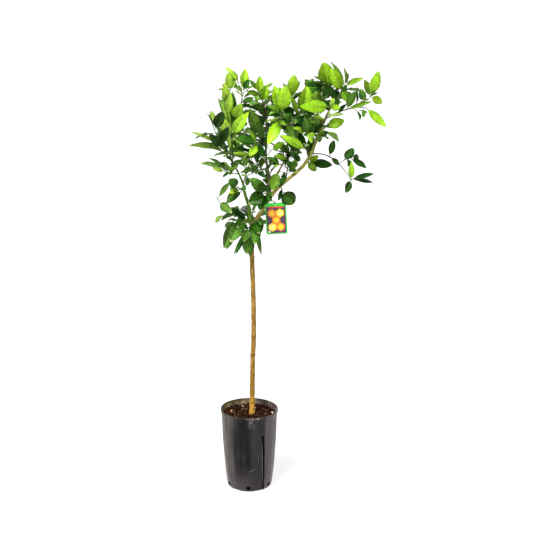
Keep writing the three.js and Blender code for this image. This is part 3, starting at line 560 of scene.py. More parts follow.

# %% [markdown]
# The masses, as in the solids: where each stem leaves its limb, where it ends, its side shoots, the leaves
# listed one by one and the rule for the rest. A side shoot is [place on the stem, tip, bow, rule], a listed
# leaf [twig, place, tip, width, turn, age, arch, fold], and a rule [count, first turn, length, age,
# first place, droop].

# %% Masses
MASSES = [
    dict(name="left_spire", on="bough_far_left", t=0.66, to=[-120, -48, 1286], bow=[-12, -6, -6],
         radii=[2.3, 1.0], seed=3, rule=[4, 20, 70, 0.3, 0.2, 0.2], show=[
        [0, 0.44, [-184, -60, 1246], 15, 40, 0.55, 0.3],
        [0, 0.3, [-188, -45, 1198], 28, 48, 0.72, 0.35, 26], [0, 0.44, [-124, -75, 1242], 28, 0, 0.15],
        [0, 0.86, [-132, -56, 1306], 14, 72, 0.4], [0, 0.9, [-120, -20, 1310], 22, 30, 0.85],
        [0, 0.8, [-78, -72, 1314], 34, 0, 0.2], [0, 0.55, [-60, -85, 1266], 28, 0, 0.02],
        [0, 0.48, [-66, -30, 1240], 18, 20, 0.12]]),
    dict(name="left_crest", on="bough_far_left", t=1, to=[-17, 0, 1346], bow=[-32, 6, 0], radii=[2.5, 1.5],
         seed=5, rule=[5, 75, 76, 0.45, 0.3, 0.2], shoots=[
        [0.97, [-32, 12, 1400], [6, 3, 2], [3, 60, 66, 0.7, 0.5, 0.05]],
        [0.93, [-14, -14, 1380], [2, -3, 0], [3, 10, 62, 0.6, 0.3, 0.1]],
        [0.42, [-54, -22, 1386], [-24, -4, 6], [2, 40, 62, 0.6, 0.8, 0.05]]], show=[
        [1, 0.99, [-71, 4, 1446], 18, 20, 0.85, 0.4], [3, 0.92, [-64, -30, 1432], 26, 10, 0.78],
        [3, 0.62, [-76, -35, 1400], 26, 10, 0.88], [3, 0.7, [-78, -60, 1386], 28, 20, 0.8],
        [3, 0.34, [-56, -45, 1370], 28, 0, 0.72], [3, 0.95, [-37, -30, 1406], 16, 30, 0.5],
        [1, 0.98, [-50, 30, 1436], 12, 30, 0.3], [2, 0.98, [-9, -20, 1443], 29, 0, 0.97],
        [2, 0.9, [5, -30, 1412], 20, 0, 0.2], [0, 0.93, [20, -10, 1350], 18, 20, 0.35],
        [0, 0.66, [-23, -45, 1337], 36, 0, 0.9], [0, 0.4, [2, -60, 1308], 36, 0, 1],
        [0, 0.52, [-40, 10, 1320], 20, 0, 0.15], [0, 0.42, [-70, 10, 1316], 12, 50, 0.85],
        [0, 0.36, [-90, -30, 1290], 34, 10, 0.82], [3, 0.1, [-98, 0, 1353], 18, 20, 0.5],
        [0, 0.62, [-50, -24, 1372], 26, 0, 0.4], [0, 0.12, [-66, -30, 1246], 12, 0, 0.85],
        [0, 0.2, [-28, -20, 1262], 14, 20, 0.55]]),
    dict(name="left_fan", on="bough_far_left", t=0.4, to=[-80, -50, 1118], bow=[4, 0, -8], radii=[2.1, 1.1],
         seed=8, rule=[2, 40, 60, 0.3, 0.5, 0.3], show=[
        [0, 0.98, [-150, -80, 1146], 24, 55, 0.35, 0.35], [0, 0.9, [-126, -50, 1158], 20, 60, 0.12, 0.35],
        [0, 0.95, [-115, -92, 1133], 16, 20, 0.88], [0, 0.5, [-80, -60, 1152], 12, 30, 0.5],
        [0, 0.6, [-84, -20, 1094], 14, 50, 0.1]]),
    dict(name="left_mid", on="bough_left", t=0.78, to=[-36, -42, 1066], bow=[0, -4, -6], radii=[2.2, 1.2],
         seed=11, rule=[2, 200, 66, 0.2, 0.5, 0.35], show=[
        [0, 0.95, [-64, -70, 1092], 34, 20, 0.15], [0, 0.8, [-60, -55, 1053], 14, 40, 0.75],
        [0, 0.9, [-70, -76, 1020], 18, 30, 0.3], [0, 0.5, [-64, -70, 1046], 16, 30, 0.88],
        [0, 0.2, [-74, -56, 1010], 22, 20, 0.2]]),
    dict(name="skirt_left", on="trunk", t=0.985, to=[-52, -36, 950], bow=[0, -2, 10], radii=[2.4, 1.4],
         seed=13, shoots=[
        [0.97, [-105, -50, 1036], [-12, 0, 6], None]], show=[
        [0, 0.6, [-58, -75, 888], 50, 10, 0.42], [0, 0.97, [-81, -50, 860], 34, 0, 0.35],
        [0, 0.8, [-74, -24, 850], 28, 10, 0.3], [1, 0.72, [-54, -84, 986], 30, 0, 0.38],
        [1, 0.86, [-58, -30, 1080], 18, 20, 0.35], [0, 0.3, [-36, -55, 932], 44, 10, 0.25],
        [0, 0.2, [-58, -4, 990], 22, 20, 0.1], [0, 0.9, [-66, 34, 900], 40, 30, 0.3]]),
    dict(name="skirt_front", on="trunk", t=0.955, to=[-4, -52, 928], bow=[0, 0, 8], radii=[2.3, 1.3],
         seed=17, show=[
        [0, 0.95, [-14, -75, 889], 36, 0, 0.36], [0, 0.55, [-5, -50, 840], 40, 0, 0.42],
        [0, 0.8, [-50, -60, 838], 12, 10, 0.25], [0, 0.65, [-43, -30, 834], 15, 10, 0.22],
        [0, 0.4, [5, -32, 826], 28, 10, 0.4]]),
    dict(name="skirt_right", on="trunk", t=0.975, to=[24, -34, 950], bow=[0, -4, 4], radii=[2.3, 1.3],
         seed=19, rule=[3, 30, 64, 0.25, 0.5, 0.5], show=[
        [0, 0.98, [34, -62, 912], 38, 0, 0.22], [0, 0.6, [22, -58, 876], 40, 0, 0.45],
        [0, 0.8, [43, -30, 832], 16, 0, 0.35]]),
    dict(name="skirt_back", on="trunk", t=0.965, to=[14, 62, 962], bow=[0, 0, 12], radii=[2.4, 1.3],
         seed=21, rule=[5, 30, 82, 0.3, 0.3, 0.5], shoots=[
        [0.5, [-30, 70, 960], [0, 0, 4], [4, 20, 78, 0.3, 0.4, 0.5]]]),
    dict(name="left_inner", on="bough_left", t=0.95, to=[32, -46, 1206], bow=[-6, 0, 0], radii=[2.2, 1.1],
         seed=23, shoots=[
        [0.12, [30, -60, 1118], [-4, 0, 10], [2, 60, 66, 0.15, 0.6, 0.3]]], show=[
        [0, 0.99, [-46, -70, 1224], 34, 35, 0.15, 0.25], [0, 0.97, [-44, -34, 1218], 15, 0, 0.72, 0.15],
        [0, 0.78, [-64, -72, 1190], 18, 50, 0.08, 0.3], [0, 0.72, [-48, -50, 1176], 15, 20, 0.9],
        [0, 0.97, [6, -75, 1170], 26, 0, 0.85], [0, 0.98, [56, -65, 1165], 24, 0, 0.12],
        [0, 0.9, [30, -25, 1138], 16, 0, 0.02], [0, 0.97, [2, -55, 1252], 16, 20, 0.6],
        [1, 0.6, [22, -85, 1122], 14, 30, 0.02], [1, 0.98, [58, -80, 1098], 18, 30, 0.02]]),
    dict(name="mid_shade", on="bough_right", t=0.24, to=[54, -54, 1046], bow=[0, 0, -4], radii=[2.2, 1.2],
         seed=31, rule=[3, 110, 76, 0.15, 0.4, 0.3], show=[
        [0, 0.9, [2, -72, 1014], 46, 10, 0.2], [0, 0.7, [6, -76, 1098], 38, 0, 0.3]]),
    dict(name="mid_crest", on="bough_mid", t=1, to=[30, 2, 1374], bow=[10, 0, 0], radii=[2.4, 1.2], seed=29,
         rule=[5, 55, 70, 0.4, 0.25, 0.12], shoots=[
        [0.35, [56, 30, 1350], [2, 0, 0], [3, 10, 62, 0.6, 0.4, 0.1]]], show=[
        [0, 0.85, [38, -10, 1420], 26, 0, 0.84], [0, 0.55, [62, -18, 1390], 28, 0, 0.76],
        [0, 0.98, [6, -4, 1408], 15, 20, 0.62], [0, 0.8, [-4, -14, 1370], 20, 25, 0.62],
        [0, 0.06, [12, -30, 1336], 14, 30, 0.3], [0, 0.1, [86, -6, 1292], 14, 20, 0.15]]),
    dict(name="mid_low", on="bough_mid", t=0.45, to=[42, -24, 1226], bow=[-14, 0, -6], radii=[2.2, 1.1],
         seed=33, rule=[1, 20, 70, 0.12, 0.5, 0.3], shoots=[
        [0.1, [78, -18, 1184], [0, 0, 0], None]], show=[
        [0, 0.98, [4, -48, 1320], 40, 0, 0.3], [0, 0.25, [38, 4, 1118], 18, 0, 0.3],
        [1, 0.9, [120, -50, 1212], 22, 15, 0.55], [0, 0.6, [62, -62, 1232], 24, 20, 0.1]]),
    dict(name="centre_fan", on="bough_mid", t=0.62, to=[110, -66, 1312], bow=[18, 0, -16], radii=[2.5, 1.5],
         seed=37, rule=[4, 80, 80, 0.2, 0.4, 0.25], shoots=[
        [0.97, [140, -52, 1364], [0, 0, 2], [4, 70, 80, 0.5, 0.35, 0.1]],
        [0.72, [168, -72, 1300], [0, 0, -4], [5, 20, 80, 0.3, 0.3, 0.2]]], show=[
        [0, 0.97, [83, -85, 1394], 38, 0, 0.84], [0, 0.99, [122, -92, 1394], 48, 0, 0.88],
        [0, 0.92, [102, -62, 1390], 24, 0, 0.6], [1, 0.95, [149, -70, 1427], 36, 0, 0.93],
        [1, 0.9, [168, -40, 1406], 20, 20, 0.6], [0, 0.9, [82, -50, 1316], 36, 0, 0.25],
        [0, 0.8, [64, -98, 1210], 37, 0, 1], [2, 0.15, [148, -95, 1232], 32, 0, 0.42],
        [2, 0.7, [122, -40, 1324], 30, 0, 0.02], [2, 0.9, [138, -100, 1362], 20, 10, 0.6],
        [2, 0.6, [116, -110, 1306], 28, 10, 0.35]]),
    dict(name="centre_low", on="bough_right", t=0.34, to=[130, -6, 1168], bow=[6, 4, 6], radii=[2.3, 1.1],
         seed=41, rule=[4, 60, 58, 0.25, 0.3, 0.25], shoots=[
        [0.42, [90, -40, 1142], [0, -4, 6], [5, 15, 52, 0.3, 0.5, 0.2]],
        [0.7, [164, 4, 1180], [0, 0, -4], [5, 45, 62, 0.15, 0.3, 0.2]],
        [0.25, [94, -44, 1116], [0, -4, 4], None]], show=[
        [3, 0.95, [79, -68, 1056], 36, 0, 0.62], [0, 0.2, [97, -62, 1064], 18, 10, 0.12],
        [0, 0.35, [158, -20, 1118], 16, 20, 0.3], [0, 0.75, [84, -38, 1168], 18, 10, 0.75],
        [2, 0.4, [158, -30, 1178], 40, 10, 0.22], [0, 0.15, [112, -8, 1100], 22, 10, 0.2],
        [2, 0.5, [172, -8, 1146], 22, 10, 0.25], [0, 0.98, [118, -20, 1200], 20, 10, 0.15],
        [2, 0.95, [122, 10, 1206], 12, 40, 0.02]]),
    dict(name="round_leaf", on="bough_right", t=0.3, to=[112, -30, 1048], bow=[0, 0, 2], radii=[1.9, 1.3],
         seed=71, show=[
        [0, 0.98, [150, -30, 1005], 50, 0, 0.36], [0, 0.6, [98, -52, 1020], 16, 20, 0.02]]),
    dict(name="bough_low", on="bough_right", t=0.52, to=[200, 14, 1138], bow=[0, 2, -4], radii=[2.2, 1.2],
         seed=53, show=[
        [0, 0.95, [231, -8, 1162], 22, 10, 0.72], [0, 0.9, [279, 20, 1127], 30, 10, 0.1],
        [0, 0.15, [224, -10, 1112], 24, 10, 0.5], [0, 0.8, [212, 44, 1228], 30, 0, 0.02]]),
    dict(name="bough_leaf", on="bough_right", t=0.57, to=[186, -50, 1190], bow=[0, 0, 2], radii=[1.8, 1.2],
         seed=55, show=[
        [0, 0.9, [106, -78, 1236], 30, 15, 0.86, 0.25], [0, 0.99, [166, -30, 1240], 22, 0, 0.05]]),
    dict(name="bough_inner", on="bough_right", t=0.68, to=[170, -68, 1262], bow=[14, -8, -12],
         radii=[2.4, 1.3], seed=43, rule=[5, 50, 78, 0.06, 0.3, 0.25], shoots=[
        [0.6, [176, -58, 1306], [4, 0, 2], [3, 30, 74, 0.2, 0.3, 0.2]]], show=[
        [0, 0.75, [144, -100, 1262], 20, 25, 0.9], [0, 0.3, [189, -84, 1238], 34, 20, 0.97],
        [0, 0.7, [181, -86, 1292], 36, 10, 0.3], [1, 0.95, [188, -76, 1392], 50, 0, 0.68],
        [1, 0.9, [222, -30, 1372], 36, 20, 0.5], [1, 0.3, [140, -50, 1300], 34, 20, 0.02]]),
    dict(name="bough_bright", on="bough_right", t=0.88, to=[264, -62, 1328], bow=[0, -4, -4],
         radii=[2.1, 1.3], seed=45, show=[
        [0, 0.98, [166, -112, 1331], 42, 0, 1, 0.1, 20], [0, 0.95, [296, -66, 1322], 22, 10, 0.7],
        [0, 0.2, [212, -30, 1292], 14, 40, 0.85]]),
    dict(name="bough_outer", on="bough_right", t=0.78, to=[256, 12, 1256], bow=[0, 0, -3], radii=[2.1, 1.2],
         seed=47, show=[
        [0, 0.97, [314, 4, 1277], 34, 10, 0.68], [0, 0.8, [275, 34, 1258], 18, 20, 0.35],
        [0, 0.34, [252, 14, 1222], 26, 20, 0.12]]),
    dict(name="far_right", on="bough_right", t=0.93, to=[382, -34, 1322], bow=[0, 0, 21], radii=[2.4, 1.2],
         seed=59, shoots=[
        [0.42, [398, -20, 1356], [6, 0, -6], [2, 20, 44, 0.45, 0.6, 0.2]]], show=[
        [0, 0.98, [446, -44, 1260], 27, 0, 0.84], [1, 0.98, [418, -36, 1438], 34, 0, 0.92],
        [1, 0.97, [374, -30, 1410], 24, 10, 0.62], [1, 0.98, [434, -20, 1334], 26, 10, 0.75],
        [1, 0.72, [361, -40, 1382], 25, 0, 0.42], [1, 0.45, [350, -10, 1380], 14, 50, 0.15],
        [1, 0.98, [422, -4, 1367], 12, 50, 0.15], [0, 0.5, [399, -50, 1342], 15, 20, 0.58],
        [0, 0.3, [318, -30, 1332], 14, 20, 0.05], [1, 0.12, [346, -24, 1374], 26, 10, 0.3]]),
    dict(name="top_cluster", on="bough_right", t=1, to=[316, 34, 1386], bow=[0, 2, 0], radii=[2.9, 1.4],
         seed=61, rule=[6, 70, 70, 0.35, 0.3, 0.2], shoots=[
        [0.3, [262, 24, 1386], [6, 0, 6], [5, 35, 76, 0.5, 0.4, 0.15]],
        [0.15, [226, 10, 1350], [4, 0, 4], [5, 60, 76, 0.35, 0.4, 0.2]]], show=[
        [1, 0.95, [244, 14, 1462], 54, 0, 0.72], [0, 0.82, [269, -8, 1446], 42, 0, 0.93],
        [0, 0.98, [272, 44, 1458], 16, 30, 0.62, 0.45], [1, 0.9, [184, 10, 1384], 40, 10, 0.28, 0.2, 8],
        [0, 0.97, [374, 30, 1410], 20, 30, 0.66, 0.3], [0, 0.85, [328, 0, 1334], 30, 0, 0.56],
        [1, 0.4, [240, -22, 1386], 42, 0, 0.22], [2, 0.6, [208, -14, 1352], 34, 20, 0.5],
        [0, 0.6, [278, 10, 1376], 22, 0, 0.12], [0, 0.25, [240, -12, 1332], 34, 0, 0.2],
        [0, 0.4, [302, 0, 1338], 26, 0, 0.2]]),
    dict(name="droop", on="bough_right", t=0.58, to=[347, 56, 1067], bow=[6, 0, 64], radii=[2.2, 1.1],
         seed=67, shoots=[
        [0.66, [350, 80, 1144], [0, 0, 10], [2, 235, 44, 0.3, 0.5, 0.3]]], show=[
        [0, 0.42, [284, 34, 1208], 22, 0, 0.28], [0, 0.45, [301, 24, 1126], 18, 20, 0.3],
        [1, 0.35, [350, 54, 1180], 30, 0, 0.32], [1, 0.8, [398, 80, 1108], 22, 20, 0.3],
        [1, 0.95, [372, 96, 1142], 22, 20, 0.28], [0, 0.98, [342, 36, 1136], 21, 0, 0.96],
        [0, 0.97, [421, 48, 1095], 18, 20, 0.22], [0, 0.96, [419, 62, 1062], 16, 30, 0.18],
        [0, 0.97, [326, 44, 1030], 24, 0, 0.28]]),
    dict(name="back_right", on="bough_back", t=1, to=[200, 175, 1250], bow=[0, 6, 0], radii=[3.0, 1.4],
         seed=73, rule=[8, 20, 82, 0.35, 0.2, 0.2], shoots=[
        [0.5, [130, 200, 1262], [0, 0, 0], [6, 35, 80, 0.4, 0.3, 0.2]],
        [0.7, [250, 170, 1224], [0, 0, 6], [5, 80, 74, 0.4, 0.3, 0.2]]]),
    dict(name="back_left", on="bough_back", t=0.45, to=[0, 140, 1200], bow=[6, 8, 0], radii=[2.8, 1.4],
         seed=79, rule=[8, 60, 80, 0.3, 0.2, 0.2], shoots=[
        [0.45, [-50, 130, 1150], [0, 0, 4], [5, 10, 80, 0.3, 0.3, 0.2]],
        [0.7, [50, 160, 1250], [0, 0, 4], [5, 50, 80, 0.4, 0.3, 0.2]]]),
    dict(name="back_crest", on="bough_mid", t=0.85, to=[30, 90, 1330], bow=[0, 4, -10], radii=[2.4, 1.2],
         seed=83, rule=[6, 20, 76, 0.4, 0.25, 0.2], shoots=[
        [0.6, [100, 80, 1330], [0, 0, 4], [4, 20, 76, 0.4, 0.3, 0.2]]]),
    dict(name="back_high", on="bough_right", t=0.84, to=[204, 120, 1362], bow=[6, 10, -12],
         radii=[2.5, 1.2], seed=89, rule=[6, 30, 76, 0.4, 0.25, 0.15], shoots=[
        [0.55, [262, 112, 1340], [4, 0, 4], [4, 40, 72, 0.4, 0.3, 0.2]]]),
    dict(name="back_upper_left", on="bough_far_left", t=0.86, to=[-66, 88, 1306], bow=[6, 16, -6],
         radii=[2.2, 1.1], seed=97, rule=[5, 60, 70, 0.4, 0.3, 0.2], shoots=[
        [0.5, [-40, 96, 1270], [0, 0, 4], [3, 20, 66, 0.3, 0.4, 0.2]]]),
]
print(len(MASSES), "masses,", sum(len(row.get("show", ())) for row in MASSES), "leaves set by hand")

# %% [markdown]
# Now the tree grows: stems and side shoots first, then the listed leaves, then the spiral leaves mass
# by mass. The counts must come out as in the solids.

# %% Grow the tree
tree = Tree(LIMBS)
for row in MASSES:
    tree.mass(**row)
tree.grow()
print("leaves", sum(len(mass["leaves"]) for mass in tree.masses), "left out", tree.skipped)

# %% [markdown]
# The solids stop at one order of side shoots. Real citrus wood carries short spurs as well, with small
# leaves in their axils. The same rule grows them: a spur is a thin piece of wood with its own spiral, it
# stays inside the box of its mass, and it is dropped when none of its leaves finds room. The drooping twig
# at the right is bare in the photograph and gets none.

# %% Spurs
SPUR_SPACING = 30
NO_SPURS = ("droop",)
SPUR_REACH = (12, 28)
SPUR_LEAF = 42
SPUR_RADII = (0.9, 0.6)
SPACE_MARGIN = 3

for mass in tree.masses:
    low, high = (np.array(corner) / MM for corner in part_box(mass["name"]))
    mass["space"] = (low - SPACE_MARGIN, high + SPACE_MARGIN)
    mass["spurs"] = []
    dice = Dice(1000 + mass["number"])
    mean_age = float(np.mean([leaf["age"] for leaf in mass["leaves"]]))
    for wood, _ in () if mass["name"] in NO_SPURS else mass["twigs"]:
        places = int(wood.length() // SPUR_SPACING)
        for k in range(places):
            share = (k + 0.2 + 0.7 * dice.roll()) / places
            tangent = wood.along(share)
            ref = unit(np.cross(tangent, UP + FRONT * 0.01))
            spoke = turned(ref, np.cross(ref, tangent), 2 * math.pi * dice.roll())
            way = unit(tangent * 0.5 + spoke + UP * 0.3)
            start = wood.at(share)
            tip = start + way * (SPUR_REACH[0] + (SPUR_REACH[1] - SPUR_REACH[0]) * dice.roll())
            spur = Wood(bowed(start, tip, UP * -2.0), SPUR_RADII)
            age = min(1, max(0, mean_age + dice.around(0.22)))
            count, turn = 2 + int(2 * dice.roll()), 360 * dice.roll()
            if not tree.clear(spur.at([0.6, 0.8, 1.0]), mass["number"]):
                continue
            if tree.leafy(mass, spur, count, turn, SPUR_LEAF, age, 0.5, 0.1, dice):
                mass["spurs"].append(spur)
leaves = [leaf for mass in tree.masses for leaf in mass["leaves"]]
print("spurs", sum(len(mass["spurs"]) for mass in tree.masses), "leaves in all", len(leaves))

# %% [markdown]
# A citrus blade is leathery. Its two halves bulge a little between midrib and margin, the margin waves, and
# the whole blade twists. Each leaf is one closed skin of 66 quads between twelve rings of six points, five
# over the top from margin to margin and one on the keel below. All leaves are worked out at once, as arrays
# with one row for each leaf.

# %% Leaf blades
STATIONS = np.array([0, 0.05, 0.105, PETIOLE, 0.18, 0.26, 0.37, 0.5, 0.64, 0.77, 0.88, 0.96])
ACROSS = np.array([-1, -0.5, 0, 0.5, 1, 0])
RING = len(ACROSS)
KEEL_POINT = 5
LEAF_POINTS = len(STATIONS) * RING + 2
STALK_RADIUS = 0.8


def leaf_skins(leaves, seed):
    """Skins of all leaves. Along the midrib u runs from 0 to 1: root + length u along - length arch u^2
    face. Across it v runs from -1 to 1: half width v to the side, lifted by fold |v|, by a bulge
    |v| (1 - |v|) and by a wave at the margin. Side and face turn slowly about the midrib."""
    rng = np.random.default_rng(seed)
    count = len(leaves)
    length, width, arch, fold = (np.array([leaf[key] for leaf in leaves], float)[:, None]
                                 for key in ("length", "width", "arch", "fold"))
    root, along, face = (np.array([leaf[key] for leaf in leaves]) for key in ("root", "along", "face"))
    u = STATIONS[None, :]
    slim = np.clip(0.5 - width / length, 0, 0.35)
    share = outline(u) ** ((0.58 + 0.8 * slim) / 0.7) * (1 - 0.1 * np.clip((u - 0.74) / 0.26, 0, 1))
    stalk = STALK_RADIUS + 0.013 * length * np.exp(-(((u - 0.1) / 0.022) ** 2))
    half = np.where(u <= PETIOLE, stalk, np.maximum(STALK_RADIUS, 0.52 * width * share))
    twist = (rng.uniform(-0.5, 0.5, (count, 1)) * (u - 0.35))[..., None]
    side = np.cross(along, face)
    turned_side = side[:, None] * np.cos(twist) + face[:, None] * np.sin(twist)
    turned_face = face[:, None] * np.cos(twist) - side[:, None] * np.sin(twist)
    sag = arch * u**2 + rng.uniform(-0.01, 0.05, (count, 1)) * np.clip(u - 0.6, 0, 1)
    run, drop = (length * u)[..., None], (length * sag)[..., None]
    midrib = root[:, None] + along[:, None] * run - face[:, None] * drop
    v = ACROSS[None, None, :]
    pace, start = rng.uniform(1.2, 2.6, (count, 1, 1)), rng.uniform(0, 2 * np.pi, (count, 1, 2))
    waves = pace * 2 * np.pi * u[..., None] + start[:, :, (ACROSS > 0).astype(int)]
    lift = np.tan(1.7 * fold)[..., None] * np.abs(v) + 0.45 * np.abs(v) * (1 - np.abs(v))
    lift = half[..., None] * (lift + 0.14 * v**2 * np.sin(waves))
    lift[:, u[0] < PETIOLE, 2] += 0.5
    lift[:, :, KEEL_POINT] = -(0.35 + 0.55 * (1 - u) ** 2)
    points = midrib[:, :, None] + turned_side[:, :, None] * (half[..., None] * v)[..., None]
    points = (points + turned_face[:, :, None] * lift[..., None]).reshape(count, -1, 3)
    tips = root + along * length - face * length * (arch + 0.01)
    chance = rng.random(count)
    fields = np.stack(np.broadcast_arrays(u[..., None], v, chance[:, None, None]), -1).reshape(count, -1, 3)
    ends = np.stack([np.stack([np.full(count, end), np.zeros(count), chance], -1) for end in (0, 1)], 1)
    return np.concatenate([points, root[:, None], tips[:, None]], 1), np.concatenate([fields, ends], 1)


def crease(a, b):
    """True for an edge along a leaf's margin, where the top meets the underside, or along its midrib."""
    low, high = np.minimum(a, b) % LEAF_POINTS, np.maximum(a, b) % LEAF_POINTS
    side = np.isin(low % RING, (0, 2, KEEL_POINT - 1)) & (low < LEAF_POINTS - 2)
    return side & ((high - low == RING) & (high < LEAF_POINTS - 2) | (high == LEAF_POINTS - 1))


leaf_points, leaf_fields = leaf_skins(leaves, seed=5)
leaf_quads, leaf_triangles = ring_faces(len(STATIONS), RING)
quad_slots = (leaf_quads[:, 0] % RING >= KEEL_POINT - 1).astype(int)
triangle_slots = np.tile(np.arange(RING) >= KEEL_POINT - 1, 2).astype(int)
print("points a leaf", LEAF_POINTS, "triangles a leaf", 2 * len(leaf_quads) + len(leaf_triangles))

# %% [markdown]
# Leaf finish: a living cuticle, waxy on top and matt below. That gives a broad soft gloss over a saturated
# green, paler veins, and a greyer underside. Seven greens by age are dealt out leaf by leaf as plain base
# colours, with some masses moved a little darker or lighter than their ages give; the darkest greens also
# stand for leaves deep in shade, as painted shade. Inside a leaf there are the veins, a mottle about 14 mm
# across, and painted light and shade: a darker margin and a darker stalk end as painted shade, and one half
# painted lighter than the other, as light falls on a folded blade. Leaves at the left are a shade yellower
# and greyer than those at the right, and those at the far right are a little darker.

# %% Upper side of a leaf
LEAF_TINTS = [  # youngest first: name, least age, blade, deeper blade for mottle and painted margin shade, vein, underside
    ("glowing", 0.945, "#b0ea20", "#76ae10", "#d2f27c", "#bcde60"),
    ("lime", 0.80, "#a4d61e", "#60960c", "#c8e86a", "#acce56"),
    ("spring", 0.66, "#92c41a", "#487408", "#b8dc54", "#98b848"),
    ("grass", 0.46, "#72a41c", "#2c5206", "#9cc854", "#7ca242"),
    ("green", 0.30, "#4c801c", "#143404", "#86b05a", "#587f30"),
    ("deep", 0.14, "#2c640c", "#082402", "#649440", "#426824"),
    # The darkest green, for leaves deep in the crown's shade: painted shade.
    ("shade", -1.0, "#174608", "#051a02", "#34681a", "#2e5018"),
]
DRY_TIP = "#ece8b0"
AGE_SHIFT = {"left_spire": -0.08, "droop": -0.12, "round_leaf": -0.12, "left_fan": 0.04, "mid_low": 0.03,
             "centre_low": 0.03}
VEIN_PAIRS = 8
MOTTLE_SIZE = 14 * MM
VEIN_DEPTH = 0.25 * MM
PORE_SIZE, PORE_DEPTH = 0.7 * MM, 0.1 * MM
# One half of each blade is painted lighter and the other darker by up to this share, as light falls on a
# folded blade.
PAINTED_FOLD_LIGHT = 0.26
LEFT_EDGE, CENTRE = -0.12, 0.0  # x in metres between which the hue and its strength change


def leaf_top(name, blade, deep, vein, dry):
    """Waxy upper side. Veins: a midrib at v = 0, and side veins where 8 u - 0.9 |v| is near a whole number.
    A leaf's chance sets how light it is, which half is painted lighter and which darker, as light on a fold,
    and whether it is an olive one. The margin and the stalk end get painted shade, and leaves right of x 0.13
    m are made darker. The last tenth of the blade turns cream by the share dry times that chance."""
    material, tree = new_finish(name)
    u, v, chance = add(tree, "SeparateXYZ", add(tree, "Attribute", attribute_name="blade",
                                                output="Vector")).node.outputs
    side = add(tree, "Math", v, operation="ABSOLUTE")
    midrib = add(tree, "MapRange", side, 0.02, 0.13, 1.0, 0.0, interpolation_type="SMOOTHSTEP")
    pairs = add(tree, "Math", u, VEIN_PAIRS, operation="MULTIPLY")
    slant = add(tree, "Math", side, -0.9, pairs, operation="MULTIPLY_ADD")
    saw = add(tree, "Math", slant, 0.5, operation="PINGPONG")
    ribs = add(tree, "MapRange", saw, 0.0, 0.14, 0.6, 0.0, interpolation_type="SMOOTHSTEP")
    veins = add(tree, "Math", midrib, ribs, operation="MAXIMUM")
    place = add(tree, "TexCoord", output="Object")
    mottle = add(tree, "TexNoise", Vector=place, Scale=1 / MOTTLE_SIZE, Detail=2.0)
    # Painted shade: towards the margin the blade darkens to the deeper colour, together with the mottle.
    rim = add(tree, "Math", side, 4.0, operation="POWER")
    dark = add(tree, "Math", rim, 0.5, mottle, operation="MULTIPLY_ADD")
    green = add(tree, "Mix", add(tree, "MapRange", dark, 0.4, 0.95, 0.0, 1.0), blade, deep, data_type="RGBA")
    lined = add(tree, "Math", veins, 0.6, operation="MULTIPLY")
    veined = add(tree, "Mix", lined, green, vein, data_type="RGBA")
    x = add(tree, "SeparateXYZ", place, output="X")
    # Painted light and shade: one half of the blade lighter and the other darker; the leaf's chance sets
    # which and how much.
    swing = add(tree, "MapRange", add(tree, "Math", chance, 0.07, operation="PINGPONG"),
                0.0, 0.07, -PAINTED_FOLD_LIGHT, PAINTED_FOLD_LIGHT)
    painted_fold_side = add(tree, "MapRange", v, -0.1, 0.1, -1.0, 1.0)
    tone = add(tree, "Math", painted_fold_side, swing, 1.0, operation="MULTIPLY_ADD")
    # Tone by the leaf's chance, painted shade towards the stalk end along u, and darker leaves towards the
    # right along x.
    for field, start, end, least, most in ((chance, 0.0, 1.0, *((0.64, 1.28) if dry else (0.8, 1.14))),
                                           (u, 0.15, 0.85, 0.8, 1.14), (x, 0.13, 0.24, 1.0, 0.88)):
        share = add(tree, "MapRange", field, start, end, least, most)
        tone = add(tree, "Math", tone, share, operation="MULTIPLY")
    hue = add(tree, "Math", add(tree, "MapRange", x, LEFT_EDGE, CENTRE, -0.019, 0.0),
              add(tree, "MapRange", chance, 0.1, 0.16, 0.484, 0.5), operation="ADD")
    soft = add(tree, "MapRange", x, LEFT_EDGE, CENTRE, 0.9, 1.0)
    toned = add(tree, "HueSaturation", Hue=hue, Saturation=soft, Value=tone, Color=veined)
    tip = add(tree, "Math", add(tree, "MapRange", u, 0.92, 1.0, 0.0, dry),
              add(tree, "MapRange", chance, 0.0, 0.7, 0.3, 1.0), operation="MULTIPLY")
    colour = add(tree, "Mix", tip, toned, DRY_TIP, data_type="RGBA")
    relief = add(tree, "Bump", invert=True, Strength=0.6, Distance=VEIN_DEPTH, Height=veins)
    return dressed(material, colour, 0.32, 0.1, Normal=relief)


print("greens:", ", ".join(tint[0] for tint in LEAF_TINTS))

# %% [markdown]
# The underside has no wax, so it is matt, paler and greyer. The leaves of one age are joined into one piece,
# which keeps the file small and lets each age have its own plain green.

# %% Leaves
def leaf_underside(name, colour):
    """Matt underside: paler and greyer, with raised pores about 0.7 mm apart."""
    material, tree = new_finish(name)
    pores = add(tree, "TexNoise", Vector=add(tree, "TexCoord", output="Object"), Scale=1 / PORE_SIZE,
                Detail=1.0)
    relief = add(tree, "Bump", Strength=0.3, Distance=PORE_DEPTH, Height=pores)
    return dressed(material, colour, 0.62, 0.08, Normal=relief)


